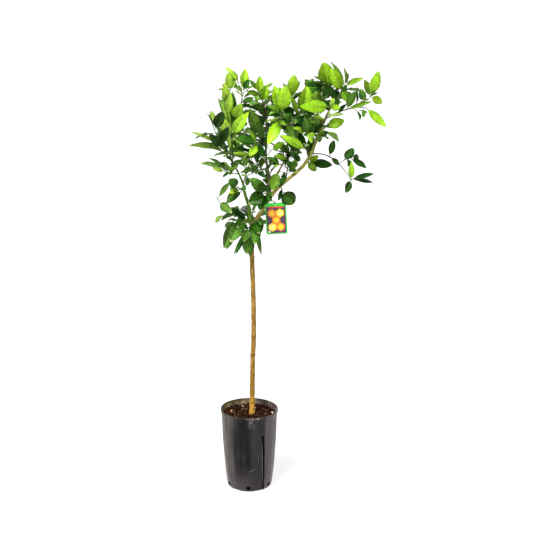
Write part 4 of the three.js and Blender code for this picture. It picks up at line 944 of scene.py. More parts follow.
ages = [leaf["age"] + AGE_SHIFT.get(mass["name"], 0) for mass in tree.masses for leaf in mass["leaves"]]
tint_of = np.array([next(k for k, tint in enumerate(LEAF_TINTS) if age >= tint[1]) for age in ages])
for k, (tint, least, blade, deep, vein, below) in enumerate(LEAF_TINTS):
    mine = np.flatnonzero(tint_of == k)
    skin = joined([(leaf_points[i], leaf_quads, leaf_triangles) for i in mine])
    finishes = [leaf_top(f"waxy_citrus_leaf_{tint}", blade, deep, vein, 0.0 if least > YOUNG_AGE else 1.0),
                leaf_underside(f"leaf_underside_{tint}", below)]
    slots = np.concatenate([np.tile(quad_slots, len(mine)), np.tile(triangle_slots, len(mine))])
    made = piece(f"leaves_{tint}", skin, finishes, {"blade": leaf_fields[mine].reshape(-1, 3)}, slots, crease)
    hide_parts(*[mass["name"] for mass in tree.masses])

# %% [markdown]
# Wood finish: thin smooth bark over living tissue. Young citrus wood is green with fine pale lines along
# it, and turns tan, then grey-brown, as it ages. The lines follow the limb, not the world, so each limb
# carries a field with the place that a point would have if the limb were straight.

# %% Bark finishes
STREAK_WIDTH = 1.6 * MM
STREAK_LENGTH = 22 * MM
PATCH_SIZE = 26 * MM
BARK_DEPTH = 0.5 * MM


def bark_finish(name, stops, dark, pale):
    """Bark whose colour runs along the limb through the stops (share of its length, hex), broken by dark
    patches, and by pale streaks drawn long and thin by a field squeezed along the limb."""
    material, tree = new_finish(name)
    share = add(tree, "Attribute", attribute_name="share", output="Fac")
    grain = add(tree, "Attribute", attribute_name="grain", output="Vector")
    drawn = add(tree, "Mapping", Vector=grain, Scale=(1 / STREAK_WIDTH, 1 / STREAK_WIDTH, 1 / STREAK_LENGTH))
    streaks = add(tree, "TexNoise", Vector=drawn, Scale=1.0, Detail=3.0)
    patches = add(tree, "TexNoise", Vector=grain, Scale=1 / PATCH_SIZE, Detail=4.0, Roughness=0.65)
    dim = add(tree, "MapRange", patches, 0.48, 0.64, 0.0, 0.8)
    aged = add(tree, "Mix", dim, ramp(tree, share, *stops), dark, data_type="RGBA")
    light = add(tree, "MapRange", streaks, 0.5, 0.68, 0.0, 0.75)
    colour = add(tree, "Mix", light, aged, pale, data_type="RGBA")
    relief = add(tree, "Bump", Strength=0.5, Distance=BARK_DEPTH, Height=streaks)
    return dressed(material, colour, 0.62, 0.04, Normal=relief)


BARK = {name: bark_finish(*row) for name, row in {
    "trunk": ("tan_trunk_bark", [(0.0, "#e0a848"), (0.062, "#d8a044"), (0.07, "#ac8230"), (0.134, "#a67c2e"),
                                 (0.142, "#84601e"), (0.6, "#8e6e2e"), (1.0, "#846a30")],
              "#4c360e", "#c8a460"),
    "bough_right": ("tan_bough_bark", [(0.0, "#8c7a34"), (0.3, "#9c8c40"), (0.55, "#82863a"),
                                       (0.78, "#68782c"), (1.0, "#505c26")], "#5c4e20", "#c4b878"),
    "bough_left": ("green_bough_bark", [(0.0, "#7c7030"), (0.2, "#567428"), (1.0, "#4a7426")],
                   "#2c441a", "#8cac58"),
    "bough_far_left": ("green_far_bark", [(0.0, "#4a7426"), (1.0, "#56703a")], "#34481c", "#8ca860"),
    "bough_mid": ("grey_bough_bark", [(0.0, "#6c6440"), (0.4, "#50503a"), (1.0, "#46503a")],
                  "#2c2c20", "#8a8a70"),
    "bough_back": ("tan_back_bark", [(0.0, "#a5884a"), (1.0, "#7f8a44")], "#5c5028", "#c4b480"),
}.items()}
BARK_SLOT = {"bough_left": "green_bark", "bough_far_left": "green_bark", "bough_mid": "grey_bark"}
print("bark finishes:", len(BARK))

# %% [markdown]
# A trunk isn't a pipe: it swells where a leaf once stood, widens where a bough leaves it, and its skin
# rises and falls by a few tenths of a millimetre. Each limb is a row of rings every 3 mm. The radius of a
# ring point is the wood's own, plus a collar at its root, plus knobs at seeded places, plus ripples.

# %% Trunk and boughs
RING_STEP = 3.0
KNOB_SPACING = 34
UNDER_SKIN = 0.97  # share of the solid's radius, so that the relief stays in its box
RELIEF = 0.35


def ring_points(centre, across, other, radius):
    """A ring round each centre: the radius at each angle, along a spoke between two square directions."""
    angle = ring_angles(radius.shape[1])
    spokes = np.cos(angle)[:, None] * across[:, None] + np.sin(angle)[:, None] * other[:, None]
    return centre[:, None] + radius[..., None] * spokes


def wood_skin(wood, share, run, plain, radius):
    """Closed skin of a wood with rings at the shares of it. Its spokes start from the world axis that the
    wood points along least. Its fields are grain, the place on the straightened wood of a ring with the
    plain radius, and share, which is the run in millimetres over the whole run."""
    sides = radius.shape[1]
    angle, tangent = ring_angles(sides), wood.along(share)
    across = unit(np.cross(tangent, np.eye(3)[np.abs(tangent).max(0).argmin()]))
    points = ring_points(wood.at(share), across, np.cross(tangent, across), radius)
    straight = np.stack(np.broadcast_arrays(plain * np.cos(angle), plain * np.sin(angle), run[:, None]), -1)
    fields = {"grain": np.concatenate([straight.reshape(-1, 3), [[0, 0, 0], [0, 0, run[-1]]]]) * MM,
              "share": np.concatenate([np.repeat(run / run[-1], sides), [0, 1]])}
    points = np.concatenate([points.reshape(-1, 3), wood.at([0.0, 1.0])])
    return (points, *ring_faces(len(share), sides)), fields


def limb_skin(wood, sides, seed, collar, knobs):
    """Skin of a limb: its radius with a collar at the root, knobs about one spacing apart, and ripples."""
    share = np.linspace(0, 1, max(6, int(wood.length() / RING_STEP)) + 1)
    run = np.append(0, np.cumsum(np.linalg.norm(np.diff(wood.at(share), axis=0), axis=1)))
    dice, angle = Dice(seed), ring_angles(sides)
    plain = wood.radius(share)[:, None] * np.ones(sides)
    radius = plain * (UNDER_SKIN + collar * np.exp(-run / 9))[:, None]
    for k in range(int(run[-1] / KNOB_SPACING)):
        place = KNOB_SPACING * (k + 0.5) + dice.around(10)
        side, size = 2 * np.pi * dice.roll(), knobs * (0.5 + dice.roll())
        near = np.exp(-(((run - place) / 4.5) ** 2))[:, None]
        radius = radius + plain * size * near * (0.35 + 0.65 * np.clip(np.cos(angle - side), 0, 1) ** 2)
    squeezed = np.broadcast_arrays(plain * np.cos(angle), plain * np.sin(angle), 0.3 * run[:, None])
    squeezed = np.stack(squeezed, -1)
    radius = radius + RELIEF * ripples(squeezed, 9, seed) + 0.4 * RELIEF * ripples(squeezed, 3.4, seed + 1)
    radius[-1] *= 0.75
    return wood_skin(wood, share, run, plain, radius)


# The back bough's skin starts inside the right bough, so that its fork shows no blunt end.
back_root = Wood(through([46, -12, 980], [51, 6, 1006], [73, 50, 1045], [112, 100, 1115]), (5.4, 3.2))
for k, (name, wood) in enumerate({**LIMBS, "bough_back": back_root}.items()):
    sides, collar, knobs = (28, 0.1, 0.24) if name == "trunk" else (20, 0.22, 0.13)
    skin, fields = limb_skin(wood, sides, 200 + 7 * k, collar, knobs)
    made = piece(f"{name}_bark", skin, [BARK[name]], fields)
    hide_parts(name)
    BARK_SLOT.get(name, "bark")

# %% [markdown]
# Twigs are the same skin on a smaller scale, with six sides and a swelling at each leaf's foot. They are
# joined in three pieces by the colour of their bark: green on the young left side, olive on the right
# bough, and brown on the drooping twig and deep inside.

# %% Twigs
TWIG_SIDES = 6
TWIG_STEP = 5.0
TWIG_KINDS = {  # kind: slot, then the finish
    "green": ("green_bark", "green_twig_bark", [(0.0, "#40582a"), (1.0, "#587e2c")], "#2a3c1a", "#84a456"),
    "olive": ("bark", "olive_twig_bark", [(0.0, "#5a5a30"), (1.0, "#5a7230")], "#32341c", "#949460"),
    "brown": ("grey_bark", "brown_twig_bark", [(0.0, "#3c3428"), (1.0, "#444c28")], "#221c14", "#706850"),
}
BROWN_MASSES = {"droop", "mid_low", "mid_crest", "centre_low", "back_crest", "round_leaf", "bough_low"}


def twig_skin(wood, leaves):
    """Six-sided skin of a twig; its radius swells by a third within 3 mm of each leaf's foot."""
    length = wood.length()
    share = np.linspace(0, 1, max(4, int(length / TWIG_STEP)) + 1)
    radius = wood.radius(share)
    if leaves:
        feet = np.array([leaf["root"] for leaf in leaves])
        near = np.linalg.norm(wood.at(share)[:, None] - feet, axis=-1).min(1)
        radius = radius * (1 + 0.35 * np.exp(-((near / 3) ** 2)))
    radius[-1] *= 0.6
    radius = radius[:, None] * np.ones(TWIG_SIDES)
    return wood_skin(wood, share, share * length, radius, radius)


def joined_wood(made):
    """Many skins with fields as one."""
    fields = {key: np.concatenate([fields[key] for _, fields in made]) for key in ("grain", "share")}
    return joined([skin for skin, _ in made]), fields


def twig_kind(mass):
    """Bark of a mass's twigs: brown in the old masses, olive on the tan boughs, else green."""
    if mass["name"] in BROWN_MASSES:
        return "brown"
    return "olive" if mass["on"] in ("bough_right", "bough_back") else "green"


for kind, (slot, *finish) in TWIG_KINDS.items():
    masses = [mass for mass in tree.masses if twig_kind(mass) == kind]
    skin, fields = joined_wood([twig_skin(wood, mass["leaves"]) for mass in masses
                                for wood in [wood for wood, _ in mass["twigs"]] + mass["spurs"]])
    twigs = piece(f"twigs_{kind}", skin, [bark_finish(*finish)], fields)
    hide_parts(*[mass["name"] for mass in masses])

# %% [markdown]
# The pot is blow-moulded black polypropylene, about 1.6 mm thick: a barrelled wall that draws in at the
# foot, a lip that lies out at the rim, drainage slots at the foot and one moulded groove at the right of
# the front. The outer wall is one sheet, a radius for each angle and height with the slots left out of the
# grid, and Solidify gives it its thickness, so that every slot and the rim get real edges.

# %% Pot wall
POT_WALL = 1.6
POT_PROFILE = np.array([[0, 74.5], [3, 77], [10, 78.8], [60, 85.5], [160, 93], [262, 96.8], [268, 98.4],
                        [274, 99.8], [280, 100]])
UNDERSIDE_RADII = (14, 30, 46, 60, 69, 72.8)
LIP = np.array([[96.8, 262], [97.2, 264.5], [98.4, 267], [99.5, 270], [100.0, 273], [100.1, 276],
                [99.8, 278.5], [99.1, 280]])
SLOT = {"count": 6, "turn": -2, "half": 4.4, "low": 8.0, "high": 20.0}
ARCH = {"turn": 26, "half": 10.5, "lift": 3.4}
GROOVE = {"top": 207, "foot": 13, "top_angle": 30, "foot_angle": 38, "half": 3.0, "depth": 2.6}


def pot_radius(z):
    """Radius of the wall's outside at height z, in a straight line between the profile's rows."""
    return np.interp(z, POT_PROFILE[:, 0], POT_PROFILE[:, 1])


def from_repeat(angle, turn):
    """Degrees between an angle and the nearest of as many as there are slots, evenly round from turn."""
    gap = 360 / SLOT["count"]
    return np.abs((angle - turn + gap / 2) % gap - gap / 2)


def pot_sheet():
    """Outer sheet of the pot over angle and row. The radius at a height follows the barrel profile, plus
    half a millimetre of ovalness, less the groove: a slot with steep sides and a round top whose angle
    leans with the height. Rows start at the middle of the underside."""
    groove_angles = np.arange(GROOVE["top_angle"] - 4, GROOVE["foot_angle"] + 4, 0.3)
    slots = SLOT["turn"] + 360 / SLOT["count"] * np.arange(SLOT["count"])
    edges = np.concatenate([slots - SLOT["half"], slots + SLOT["half"]]) % 360
    angle = np.unique(np.round(np.concatenate([np.arange(0, 360, 2.0), groove_angles, edges]), 3))
    angle = angle[np.append(np.diff(angle) > 0.12, True)]
    foot_z = [0, 1.2, 3, 5.5, SLOT["low"], 12.5, 16.5, SLOT["high"]]
    wall_z = np.concatenate([foot_z, np.arange(24, 258, 6.0)])
    underside, side = [[r, 0.0] for r in UNDERSIDE_RADII], np.stack([pot_radius(wall_z), wall_z], -1)
    rows = np.concatenate([underside, side, LIP])
    turn = np.radians(angle)[None, :]
    radius, height = rows[:, :1] * np.ones(len(angle)), rows[:, 1:] * np.ones(len(angle))
    oval = 0.5 * np.sin(2 * turn + 0.6) + 0.25 * np.sin(5 * turn)
    radius = radius + oval * np.clip(height / 60, 0, 1)
    share = (height - GROOVE["foot"]) / (GROOVE["top"] - GROOVE["foot"])
    centre = GROOVE["foot_angle"] + (GROOVE["top_angle"] - GROOVE["foot_angle"]) * np.clip(share, 0, 1)
    beside = np.radians(np.abs(np.degrees(turn) - centre)) * radius
    width = GROOVE["half"] * np.sqrt(np.clip((GROOVE["top"] - height) / 12, 0, 1))
    cut = np.clip((width - beside) / 0.8 + 0.5, 0, 1) * (share >= 0) * (share <= 1)
    radius = radius - GROOVE["depth"] * cut
    arch = np.clip((ARCH["half"] - from_repeat(np.degrees(turn), ARCH["turn"])) / 2 + 0.5, 0, 1)
    outer = (rows[:, 0] > UNDERSIDE_RADII[-1])[:, None]
    height = height + ARCH["lift"] * arch * outer * np.clip(1 - height / 8, 0, 1)
    points = np.stack([radius * np.sin(turn), -radius * np.cos(turn), height], -1).reshape(-1, 3)
    quads, triangles = ring_faces(len(rows), len(angle))
    middle = np.append(angle, 360 + angle[0])
    near_slot = from_repeat((middle[1:] + middle[:-1]) / 2, SLOT["turn"]) < SLOT["half"]
    row_z = (rows[1:, 1] + rows[:-1, 1]) / 2
    open_row = (row_z > SLOT["low"]) & (row_z < SLOT["high"])
    keep = ~(open_row[:, None] & near_slot[None, :]).ravel()
    return np.vstack([points, [0, 0, 0]]), quads[keep], triangles[:len(angle)]


print("pot radius at the foot and the rim:", [round(float(pot_radius(z)), 1) for z in (0, 270)], "mm")

# %% [markdown]
# Pot finish: moulded polypropylene dyed with carbon black, handled and dusty. Where it is clean it is blue
# black and half glossy. Round the wall it carries painted reflection bands of several greys, streaked and
# standing in for bright walls reflected at its sides, a warm bloom at the foot, a dusty lip, lime stains
# under the lip at the front, a near-black band round the edges of the slots, and long scratches. The groove
# is painted near-black as the shade in its recess, and dull, because a gloss there would fill it with haze.

# %% Marks on the pot
DUST_SIZE = 30 * MM
GRIT_SIZE = 7 * MM
MEAN_RADIUS = 90  # of the wall, in mm
LIME, BLOOM, LIP_DUST = "#86807c", "#443c3e", "#5a5048"
# The groove's line on the wall, and the near-black painted shade laid along its recess.
GROOVE_LINE, GROOVE_SHADE = ((38.7, -20), (29.8, 212), 6.6, 0.47), "#080404"
# A near-black band round the edges of each drainage slot.
SLOT_EDGE_DARK = "#0a0605"
POT_REFLECTION_BANDS = [  # painted reflection bands: the sine of the angle where a band starts and where it is full, and its colour
    (-0.05, 0.22, "#29282b"), (0.54, 0.64, "#5c5153"), (0.8, 0.93, "#6c6664"), (-0.44, -0.74, "#524a48"),
    (-0.84, -0.96, "#696a62")]
STAINS = [  # angle in degrees and height in mm at either end, half width in mm, fade, least grit
    ((2, 350), (6, 232), 15.0, 0.08, 0.42),
    ((-6, 277), (24, 277), 5.0, 0.35, 0.40),
    ((20, 300), (20, 262), 10.0, 0.35, 0.54),
]
SCRATCHES = [  # angle and height at either end, half width, strength: above 0 it is pale, below 0 dark
    ((-1, 78), (17, 90), 1.6, 0.3), ((27, 120), (24, 165), 0.9, 0.3), ((22, 105), (19, 150), 0.9, 0.25),
    ((31, 12), (29, 84), 1.5, -0.9), ((20, 20), (27, 196), 1.6, -0.7), ((13, 30), (24, 120), 1.2, -0.5),
    ((34.2, 8), (33.2, 74), 1.3, -0.9), ((33.4, 30), (28.0, 200), 1.4, 0.45),
]


def stroke(tree, angle, height, start, end, half, fade=0.35):
    """A soft line on the wall from start to end, each an angle and a height. It is 1 near the line and 0
    beyond half its width, and 1 up to the share fade from its middle and 0 at its ends. Angles count as
    millimetres along the wall at its mean radius."""
    arc = math.radians(MEAN_RADIUS)
    (a0, z0), (a1, z1) = start, end
    way = np.array([(a1 - a0) * arc, z1 - z0])
    size = float(np.linalg.norm(way))
    east, up = (way / size).tolist()
    x = add(tree, "Math", angle, arc, -a0 * arc, operation="MULTIPLY_ADD")
    z = add(tree, "Math", height, z0, operation="SUBTRACT")
    soft = []
    for a, b, middle, full, none in ((-up, east, 0.0, half * 0.3, half),
                                     (east, up, size / 2, size * fade, size * 0.5)):
        off = add(tree, "Math", x, a, -middle, operation="MULTIPLY_ADD")
        off = add(tree, "Math", z, b, off, operation="MULTIPLY_ADD")
        soft.append(add(tree, "MapRange", add(tree, "Math", off, operation="ABSOLUTE"), full, none, 1.0, 0.0))
    return add(tree, "Math", *soft, operation="MULTIPLY")


# The third count is of the painted reflection bands.
print(len(SCRATCHES), "scratches,", len(STAINS), "lime stains,", len(POT_REFLECTION_BANDS), "painted_reflection_bands")

# %% [markdown]
# The outside is a stack of layers, as dirt is, with painted reflection bands and painted groove shade among
# them. Each has a share, which says how much of it covers the place, and a colour, and is mixed over what
# lies below.

# %% Outside of the pot
def pot_outside():
    """The outer wall from the plastic up: black with long streaks, bloom, painted reflection bands, lip,
    stains, painted groove shade, dark slot edges and scratches, each mixed over what is below it."""
    material, tree = new_finish("black_polypropylene")
    place = add(tree, "TexCoord", output="Object")
    x, y, z = add(tree, "SeparateXYZ", place).node.outputs
    angle = add(tree, "Math", x, add(tree, "Math", y, -1.0, operation="MULTIPLY"), operation="ARCTAN2")
    angle = add(tree, "Math", angle, operation="DEGREES")
    height = add(tree, "Math", z, 1 / MM, operation="MULTIPLY")
    long = add(tree, "Mapping", Vector=place, Scale=(60, 60, 9))
    streaks = add(tree, "TexNoise", Vector=long, Scale=1.0, Detail=4.0)
    clouds = add(tree, "TexNoise", Vector=place, Scale=1 / DUST_SIZE, Detail=5.0)
    grit = add(tree, "TexNoise", Vector=place, Scale=1 / GRIT_SIZE, Detail=4.0)
    black = ramp(tree, streaks, (0.3, "#08090b"), (0.52, "#141416"), (0.72, "#2e2c2c"))
    foot = add(tree, "MapRange", height, 110.0, 0.0, 0.0, 0.9, interpolation_type="SMOOTHSTEP")
    layers = [(foot, BLOOM)]
    flat = add(tree, "VectorMath", place, (1, 1, 0), operation="MULTIPLY")
    sine = add(tree, "SeparateXYZ", add(tree, "VectorMath", flat, operation="NORMALIZE"), output="X")
    # Painted reflection bands: greys by the angle round the wall, streaked, in place of bright walls
    # reflected at the pot's sides.
    for low_end, high_end, wall_tone in POT_REFLECTION_BANDS:
        share = add(tree, "MapRange", sine, low_end, high_end, 0.0, 1.5, interpolation_type="SMOOTHSTEP")
        layers.append((add(tree, "Math", share, streaks, operation="MULTIPLY"), wall_tone))
    lip = add(tree, "MapRange", height, 270.0, 279.0, 0.0, 0.5)
    layers.append((add(tree, "Math", lip, clouds, operation="MULTIPLY"), LIP_DUST))
    for *line, least in STAINS:
        spots = add(tree, "MapRange", grit, least, least + 0.22, 0.0, 0.8)
        stain = add(tree, "Math", stroke(tree, angle, height, *line), spots, operation="MULTIPLY")
        layers.append((stain, LIME))
    # Painted shade: the groove's recess is laid near-black along its line.
    cut = stroke(tree, angle, height, *GROOVE_LINE)
    layers.append((cut, GROOVE_SHADE))
    # A near-black band beside the edges of each slot, over the slots' height.
    beside = add(tree, "Math", angle, float(SLOT["turn"]), operation="SUBTRACT")
    beside = add(tree, "Math", beside, 180 / SLOT["count"], operation="PINGPONG")
    beside = add(tree, "MapRange", beside, SLOT["half"] + 0.6, SLOT["half"] + 2.2, 0.9, 0.0)
    level = add(tree, "Math", height, (SLOT["low"] + SLOT["high"]) / 2, operation="SUBTRACT")
    level = add(tree, "MapRange", add(tree, "Math", level, operation="ABSOLUTE"), 6.6, 8.4, 1.0, 0.0)
    layers.append((add(tree, "Math", beside, level, operation="MULTIPLY"), SLOT_EDGE_DARK))
    for *line, strength in SCRATCHES:
        share = add(tree, "Math", stroke(tree, angle, height, *line), abs(strength), operation="MULTIPLY")
        layers.append((share, "#8a8d92" if strength > 0 else "#0a0606"))
    colour = black
    for share, above in layers:
        colour = add(tree, "Mix", share, colour, above, data_type="RGBA")
    # In the groove the gloss and sheen fall to nothing, so its painted shade stays dark.
    return dressed(material, colour, add(tree, "MapRange", clouds, 0.3, 0.75, 0.34, 0.6),
                   add(tree, "MapRange", cut, 0.0, 0.7, 0.14, 0.0), 1.49,
                   Sheen_Weight=add(tree, "MapRange", cut, 0.0, 0.7, 0.06, 0.0),
                   Sheen_Roughness=0.45, Sheen_Tint="#d8c8cc",
                   Normal=add(tree, "Bump", Strength=0.25, Distance=0.3 * MM, Height=streaks))


outside = pot_outside()
print(outside.name, "has", len(outside.node_tree.nodes), "nodes")

# %% [markdown]
# The inside has a film of dry compost. The wall is one sheet, and Solidify gives it its thickness and its
# inner side, with the second material.

# %% Inside of the pot
FOLD_SHADE_LINES = (52, 61)  # x in mm of two folds, drawn as near-black lines of painted shade


def pot_inside():
    """The inner wall carries dry compost, brown and matt, greyer at the right, and painted shade in two
    folds.
    """
    material, tree = new_finish("compost_stained_polypropylene")
    place = add(tree, "TexCoord", output="Object")
    wall_tone = add(tree, "TexNoise", Vector=place, Scale=1 / DUST_SIZE, Detail=6.0)
    tan = ramp(tree, wall_tone, (0.3, "#443a26"), (0.5, "#766848"), (0.7, "#a6966e"))
    grey = ramp(tree, wall_tone, (0.3, "#382f2c"), (0.5, "#62564f"), (0.7, "#90827a"))
    x = add(tree, "SeparateXYZ", place, output="X")
    shade = add(tree, "Mix", add(tree, "MapRange", x, -0.02, 0.03, 0.0, 1.0), tan, grey, data_type="RGBA")
    # Painted shade: a near-black line along each fold.
    for fold_x in FOLD_SHADE_LINES:
        near = add(tree, "Math", add(tree, "Math", x, fold_x * MM, operation="SUBTRACT"), operation="ABSOLUTE")
        near = add(tree, "MapRange", near, 1.2 * MM, 2.6 * MM, 0.8, 0.0)
        shade = add(tree, "Mix", near, shade, "#100c0a", data_type="RGBA")
    return dressed(material, shade, 0.8, 0.25, 1.49)


pot = piece("nursery_pot", pot_sheet(), [outside, pot_inside()])
wall = pot.modifiers.new("wall", "SOLIDIFY")
wall.thickness, wall.offset, wall.use_even_offset = POT_WALL * MM, -1, True
wall.material_offset, wall.material_offset_rim = 1, 0
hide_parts("pot")

# %% [markdown]
# Compost: dark peat with fibres, bark chips and a few pale stones. The body is one closed skin that fills
# the pot. It has settled away from the wall at the foot, so the slots look into the dark. Its top is lumpy,
# hollow at the left of the trunk and a little heaped round it.

# %% Compost
SOIL_LEVEL = 257.0
SOIL_COLUMNS = 120
SOIL_FLOOR = 3.4
SOIL_GAP, SETTLED = 0.6, 9.0  # mm to the wall, and below 30 mm
TRUNK_FOOT = np.array([9.5, 0.0])
LUMPS = [(1.9, 34, 3), (1.1, 11, 4), (0.5, 5, 6)]  # height and width in mm, seed
HEAP = {"height": 7.0, "size": 15.0, "calm": 26.0}
HOLLOW = {"place": np.array([-24.0, 22.0]), "size": 16.0, "depth": 6.0}


def from_foot(x, y):
    """Distance from the foot of the trunk, level along the compost."""
    return np.hypot(x - TRUNK_FOOT[0], y - TRUNK_FOOT[1])


def soil_height(x, y):
    """Height of the compost: its level, three sizes of ripples, a heap round the trunk and a hollow."""
    flat = np.stack([x, y, np.zeros_like(x)], -1)
    foot = from_foot(x, y)
    lumps = sum(high * ripples(flat, wide, seed) for high, wide, seed in LUMPS)
    dip = np.hypot(x - HOLLOW["place"][0], y - HOLLOW["place"][1]) / HOLLOW["size"]
    return (SOIL_LEVEL + lumps * np.clip(foot / HEAP["calm"], 0.25, 1)
            + HEAP["height"] * np.exp(-foot / HEAP["size"]) - HOLLOW["depth"] * np.exp(-dip**2))


def soil_skin():
    """Rings from the middle of the underside out, up the wall and back to the middle over the top."""
    wall_z = np.array([SOIL_FLOOR, 10, 22, 34, 60, 110, 160, 210, 246])
    wall_r = pot_radius(wall_z) - POT_WALL - np.where(wall_z < 30, SETTLED, SOIL_GAP)
    top_r = np.linspace(pot_radius(256) - POT_WALL - SOIL_GAP, 3, 34)
    radius = np.concatenate([[30, 60], wall_r, top_r])
    angle = ring_angles(SOIL_COLUMNS)
    x, y = radius[:, None] * np.sin(angle), -radius[:, None] * np.cos(angle)
    z = np.concatenate([[SOIL_FLOOR] * 2, wall_z, np.zeros(len(top_r))])[:, None] * np.ones(SOIL_COLUMNS)
    z[-len(top_r):] = soil_height(x[-len(top_r):], y[-len(top_r):])
    ends = [[0, 0, SOIL_FLOOR], [0, 0, float(soil_height(np.zeros(1), np.zeros(1))[0])]]
    return (np.vstack([np.stack([x, y, z], -1).reshape(-1, 3), ends]), *ring_faces(len(radius), SOIL_COLUMNS))


def soil_finish(name, stops, grain, roughness):
    """Loose matter: colour and bump from one noise whose grain is the size of its crumbs."""
    material, tree = new_finish(name)
    noise = add(tree, "TexNoise", Vector=add(tree, "TexCoord", output="Object"), Scale=1 / grain, Detail=6.0,
                Roughness=0.7)
    relief = add(tree, "Bump", Strength=0.9, Distance=1.2 * MM, Height=noise)
    return dressed(material, ramp(tree, noise, *stops), roughness, 0.06, Normal=relief)


PEAT = [(0.36, "#060201"), (0.48, "#1e0c04"), (0.56, "#3c2010"), (0.66, "#6e4a2e")]
soil = piece("compost", soil_skin(), [soil_finish("moist_peat", PEAT, 6 * MM, 0.95)])
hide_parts("soil")

# %% [markdown]
# Loose bits lie on the compost. Each is a small lump with twelve corners, which is enough at this size, and
# all of a kind are strewn, turned and stretched by seeded chance, and joined.

# %% Loose lumps
def lump():
    """Corners and faces of a regular solid with twelve corners: all even swaps of (0, 1, golden ratio)."""
    g = (1 + 5**0.5) / 2
    corner = np.array([(a, b * g, 0) for a in (-1, 1) for b in (-1, 1)])
    corners = np.concatenate([np.roll(corner, k, 1) for k in range(3)])
    gaps = np.linalg.norm(corners[:, None] - corners, axis=-1)
    touch = (gaps > 0.1) & (gaps < 2.1)
    i, j, k = np.meshgrid(*[np.arange(12)] * 3, indexing="ij")
    faces = np.stack([i, j, k], -1)[(i < j) & (j < k) & touch[i, j] & touch[j, k] & touch[i, k]]
    a, b, c = (corners[faces[:, n]] for n in range(3))
    inward = np.einsum("ij,ij->i", np.cross(b - a, c - a), a) < 0
    faces[inward] = faces[inward][:, ::-1]
    return corners / np.linalg.norm(corners[0]), faces


def strewn(x, y, size, rng, long=1.0):
    """Lumps at the places x and y on the compost, each turned and stretched its own way, long times as
    much along one of its axes."""
    corners, faces = lump()
    count = len(x)
    turn, _ = np.linalg.qr(rng.normal(size=(count, 3, 3)))
    turn = turn * np.sign(np.linalg.det(turn))[:, None, None]
    stretch = rng.uniform(0.55, 1.35, (count, 1, 3)) * size[:, None, None] * [long, 1, 1]
    shape = corners * (1 + 0.3 * rng.uniform(-1, 1, (count, len(corners), 1)))
    points = np.einsum("nij,nkj->nki", turn, shape * stretch)
    points = points + np.stack([x, y, soil_height(x, y) + size * 0.3], -1)[:, None]
    starts = len(corners) * np.arange(count)[:, None, None]
    return points.reshape(-1, 3), np.zeros((0, 4), int), (faces + starts).reshape(-1, 3)


print("a lump has", len(lump()[0]), "corners and", len(lump()[1]), "faces")

# %% [markdown]
# Dark crumbs and pale fibres lie everywhere. The bark chips and stones lie where the photograph shows them,
# and a few dry twigs lie between.

# %% Crumbs, chips and stray twigs
CRUMBS = {  # kind: count, least and most half length in mm, stretch, finish
    "dark": (620, 1.2, 5.2, 1.0, soil_finish("dark_peat_crumb", PEAT, 4 * MM, 0.95)),
    "fibre": (320, 0.5, 1.3, 5.0, soil_finish("pale_peat_fibre", [(0.3, "#4a3020"), (0.7, "#8e7258")],
                                              6 * MM, 0.9)),
}
CHIPS = {  # kind: finish, then x, y and half length in mm of each
    "peach": (soil_finish("peach_bark_chip", [(0.3, "#c08058"), (0.7, "#eab088")], 3 * MM, 0.85),
              [(-63, 24, 6.2), (-58, 12, 3.0), (-36, -56, 2.4)]),
    "pale": (soil_finish("pale_stone", [(0.3, "#b4a98e"), (0.7, "#ece4d0")], 4 * MM, 0.7),
             [(-24, 72, 5.6), (80, 4, 4.6), (-52, -46, 2.2), (30, -66, 2.0)]),
    "straw": (soil_finish("straw_chip", [(0.3, "#b09a52"), (0.7, "#e8dc9c")], 3 * MM, 0.8),
              [(79, -28, 4.8), (20, 66, 2.8), (-8, 40, 1.8)]),
}
STICKS = [((-53, 22), (-43, -60)), ((-36, -10), (-46, -52)), ((20, -60), (44, -50)), ((30, 30), (62, 34)),
          ((-30, 40), (6, 52)), ((-70, -20), (-58, -44))]
STREWN_RADIUS, TRUNK_ROOM = 92, 13


def stick(start, end):
    """A thin dry twig on the compost from start to end, bowed up a little."""
    ends = np.array([start, end], float)
    feet = np.column_stack([ends, soil_height(ends[:, 0], ends[:, 1]) + 1.5])
    return Wood(bowed(feet[0], feet[1], UP * 3.0), (1.0, 0.6))


rng = np.random.default_rng(11)
for kind, (count, least, most, long, finish) in CRUMBS.items():
    r, a = STREWN_RADIUS * np.sqrt(rng.random(count)), 2 * np.pi * rng.random(count)
    x, y = r * np.cos(a), r * np.sin(a)
    away = from_foot(x, y) > TRUNK_ROOM
    crumbs = strewn(x[away], y[away], rng.uniform(least, most, count)[away], rng, long)
    made = piece(f"crumbs_{kind}", crumbs, [finish], flat=True)
for kind, (finish, rows) in CHIPS.items():
    made = piece(f"chips_{kind}", strewn(*np.array(rows, float).T, rng), [finish], flat=True)
skin, fields = joined_wood([twig_skin(stick(*row), []) for row in STICKS])
dry_bark = bark_finish("dry_twig_bark", [(0.0, "#8a6a44"), (1.0, "#a58458")], "#4c3622", "#c4a880")
sticks = piece("stray_twigs", skin, [dry_bark], fields)

# %% [markdown]
# The card is die-cut plastic sheet with round corners and a punched hole, printed in bright inks: a green
# border round a plum field. The print here is a plain pattern of six-sided tiles in orange and yellow under
# a red bar, and the back is plain ivory. The card is one ring that runs from the hole out over the front
# and back over the rear, and each motif is a thin closed plate of ink on it, so the print is geometry and
# survives any export.

# %% Card
CARD = {"width": 70, "height": 105, "thick": 1.0, "corner": 6, "lean": 3.3, "hole": 2.8, "hole_drop": 5}
CARD_PLACE = np.array([92.0, -40.0, 958.5])
CARD_POINTS = 96
INK = 0.12
INK_FOOT = 0.02  # how far a plate sinks into what is below it


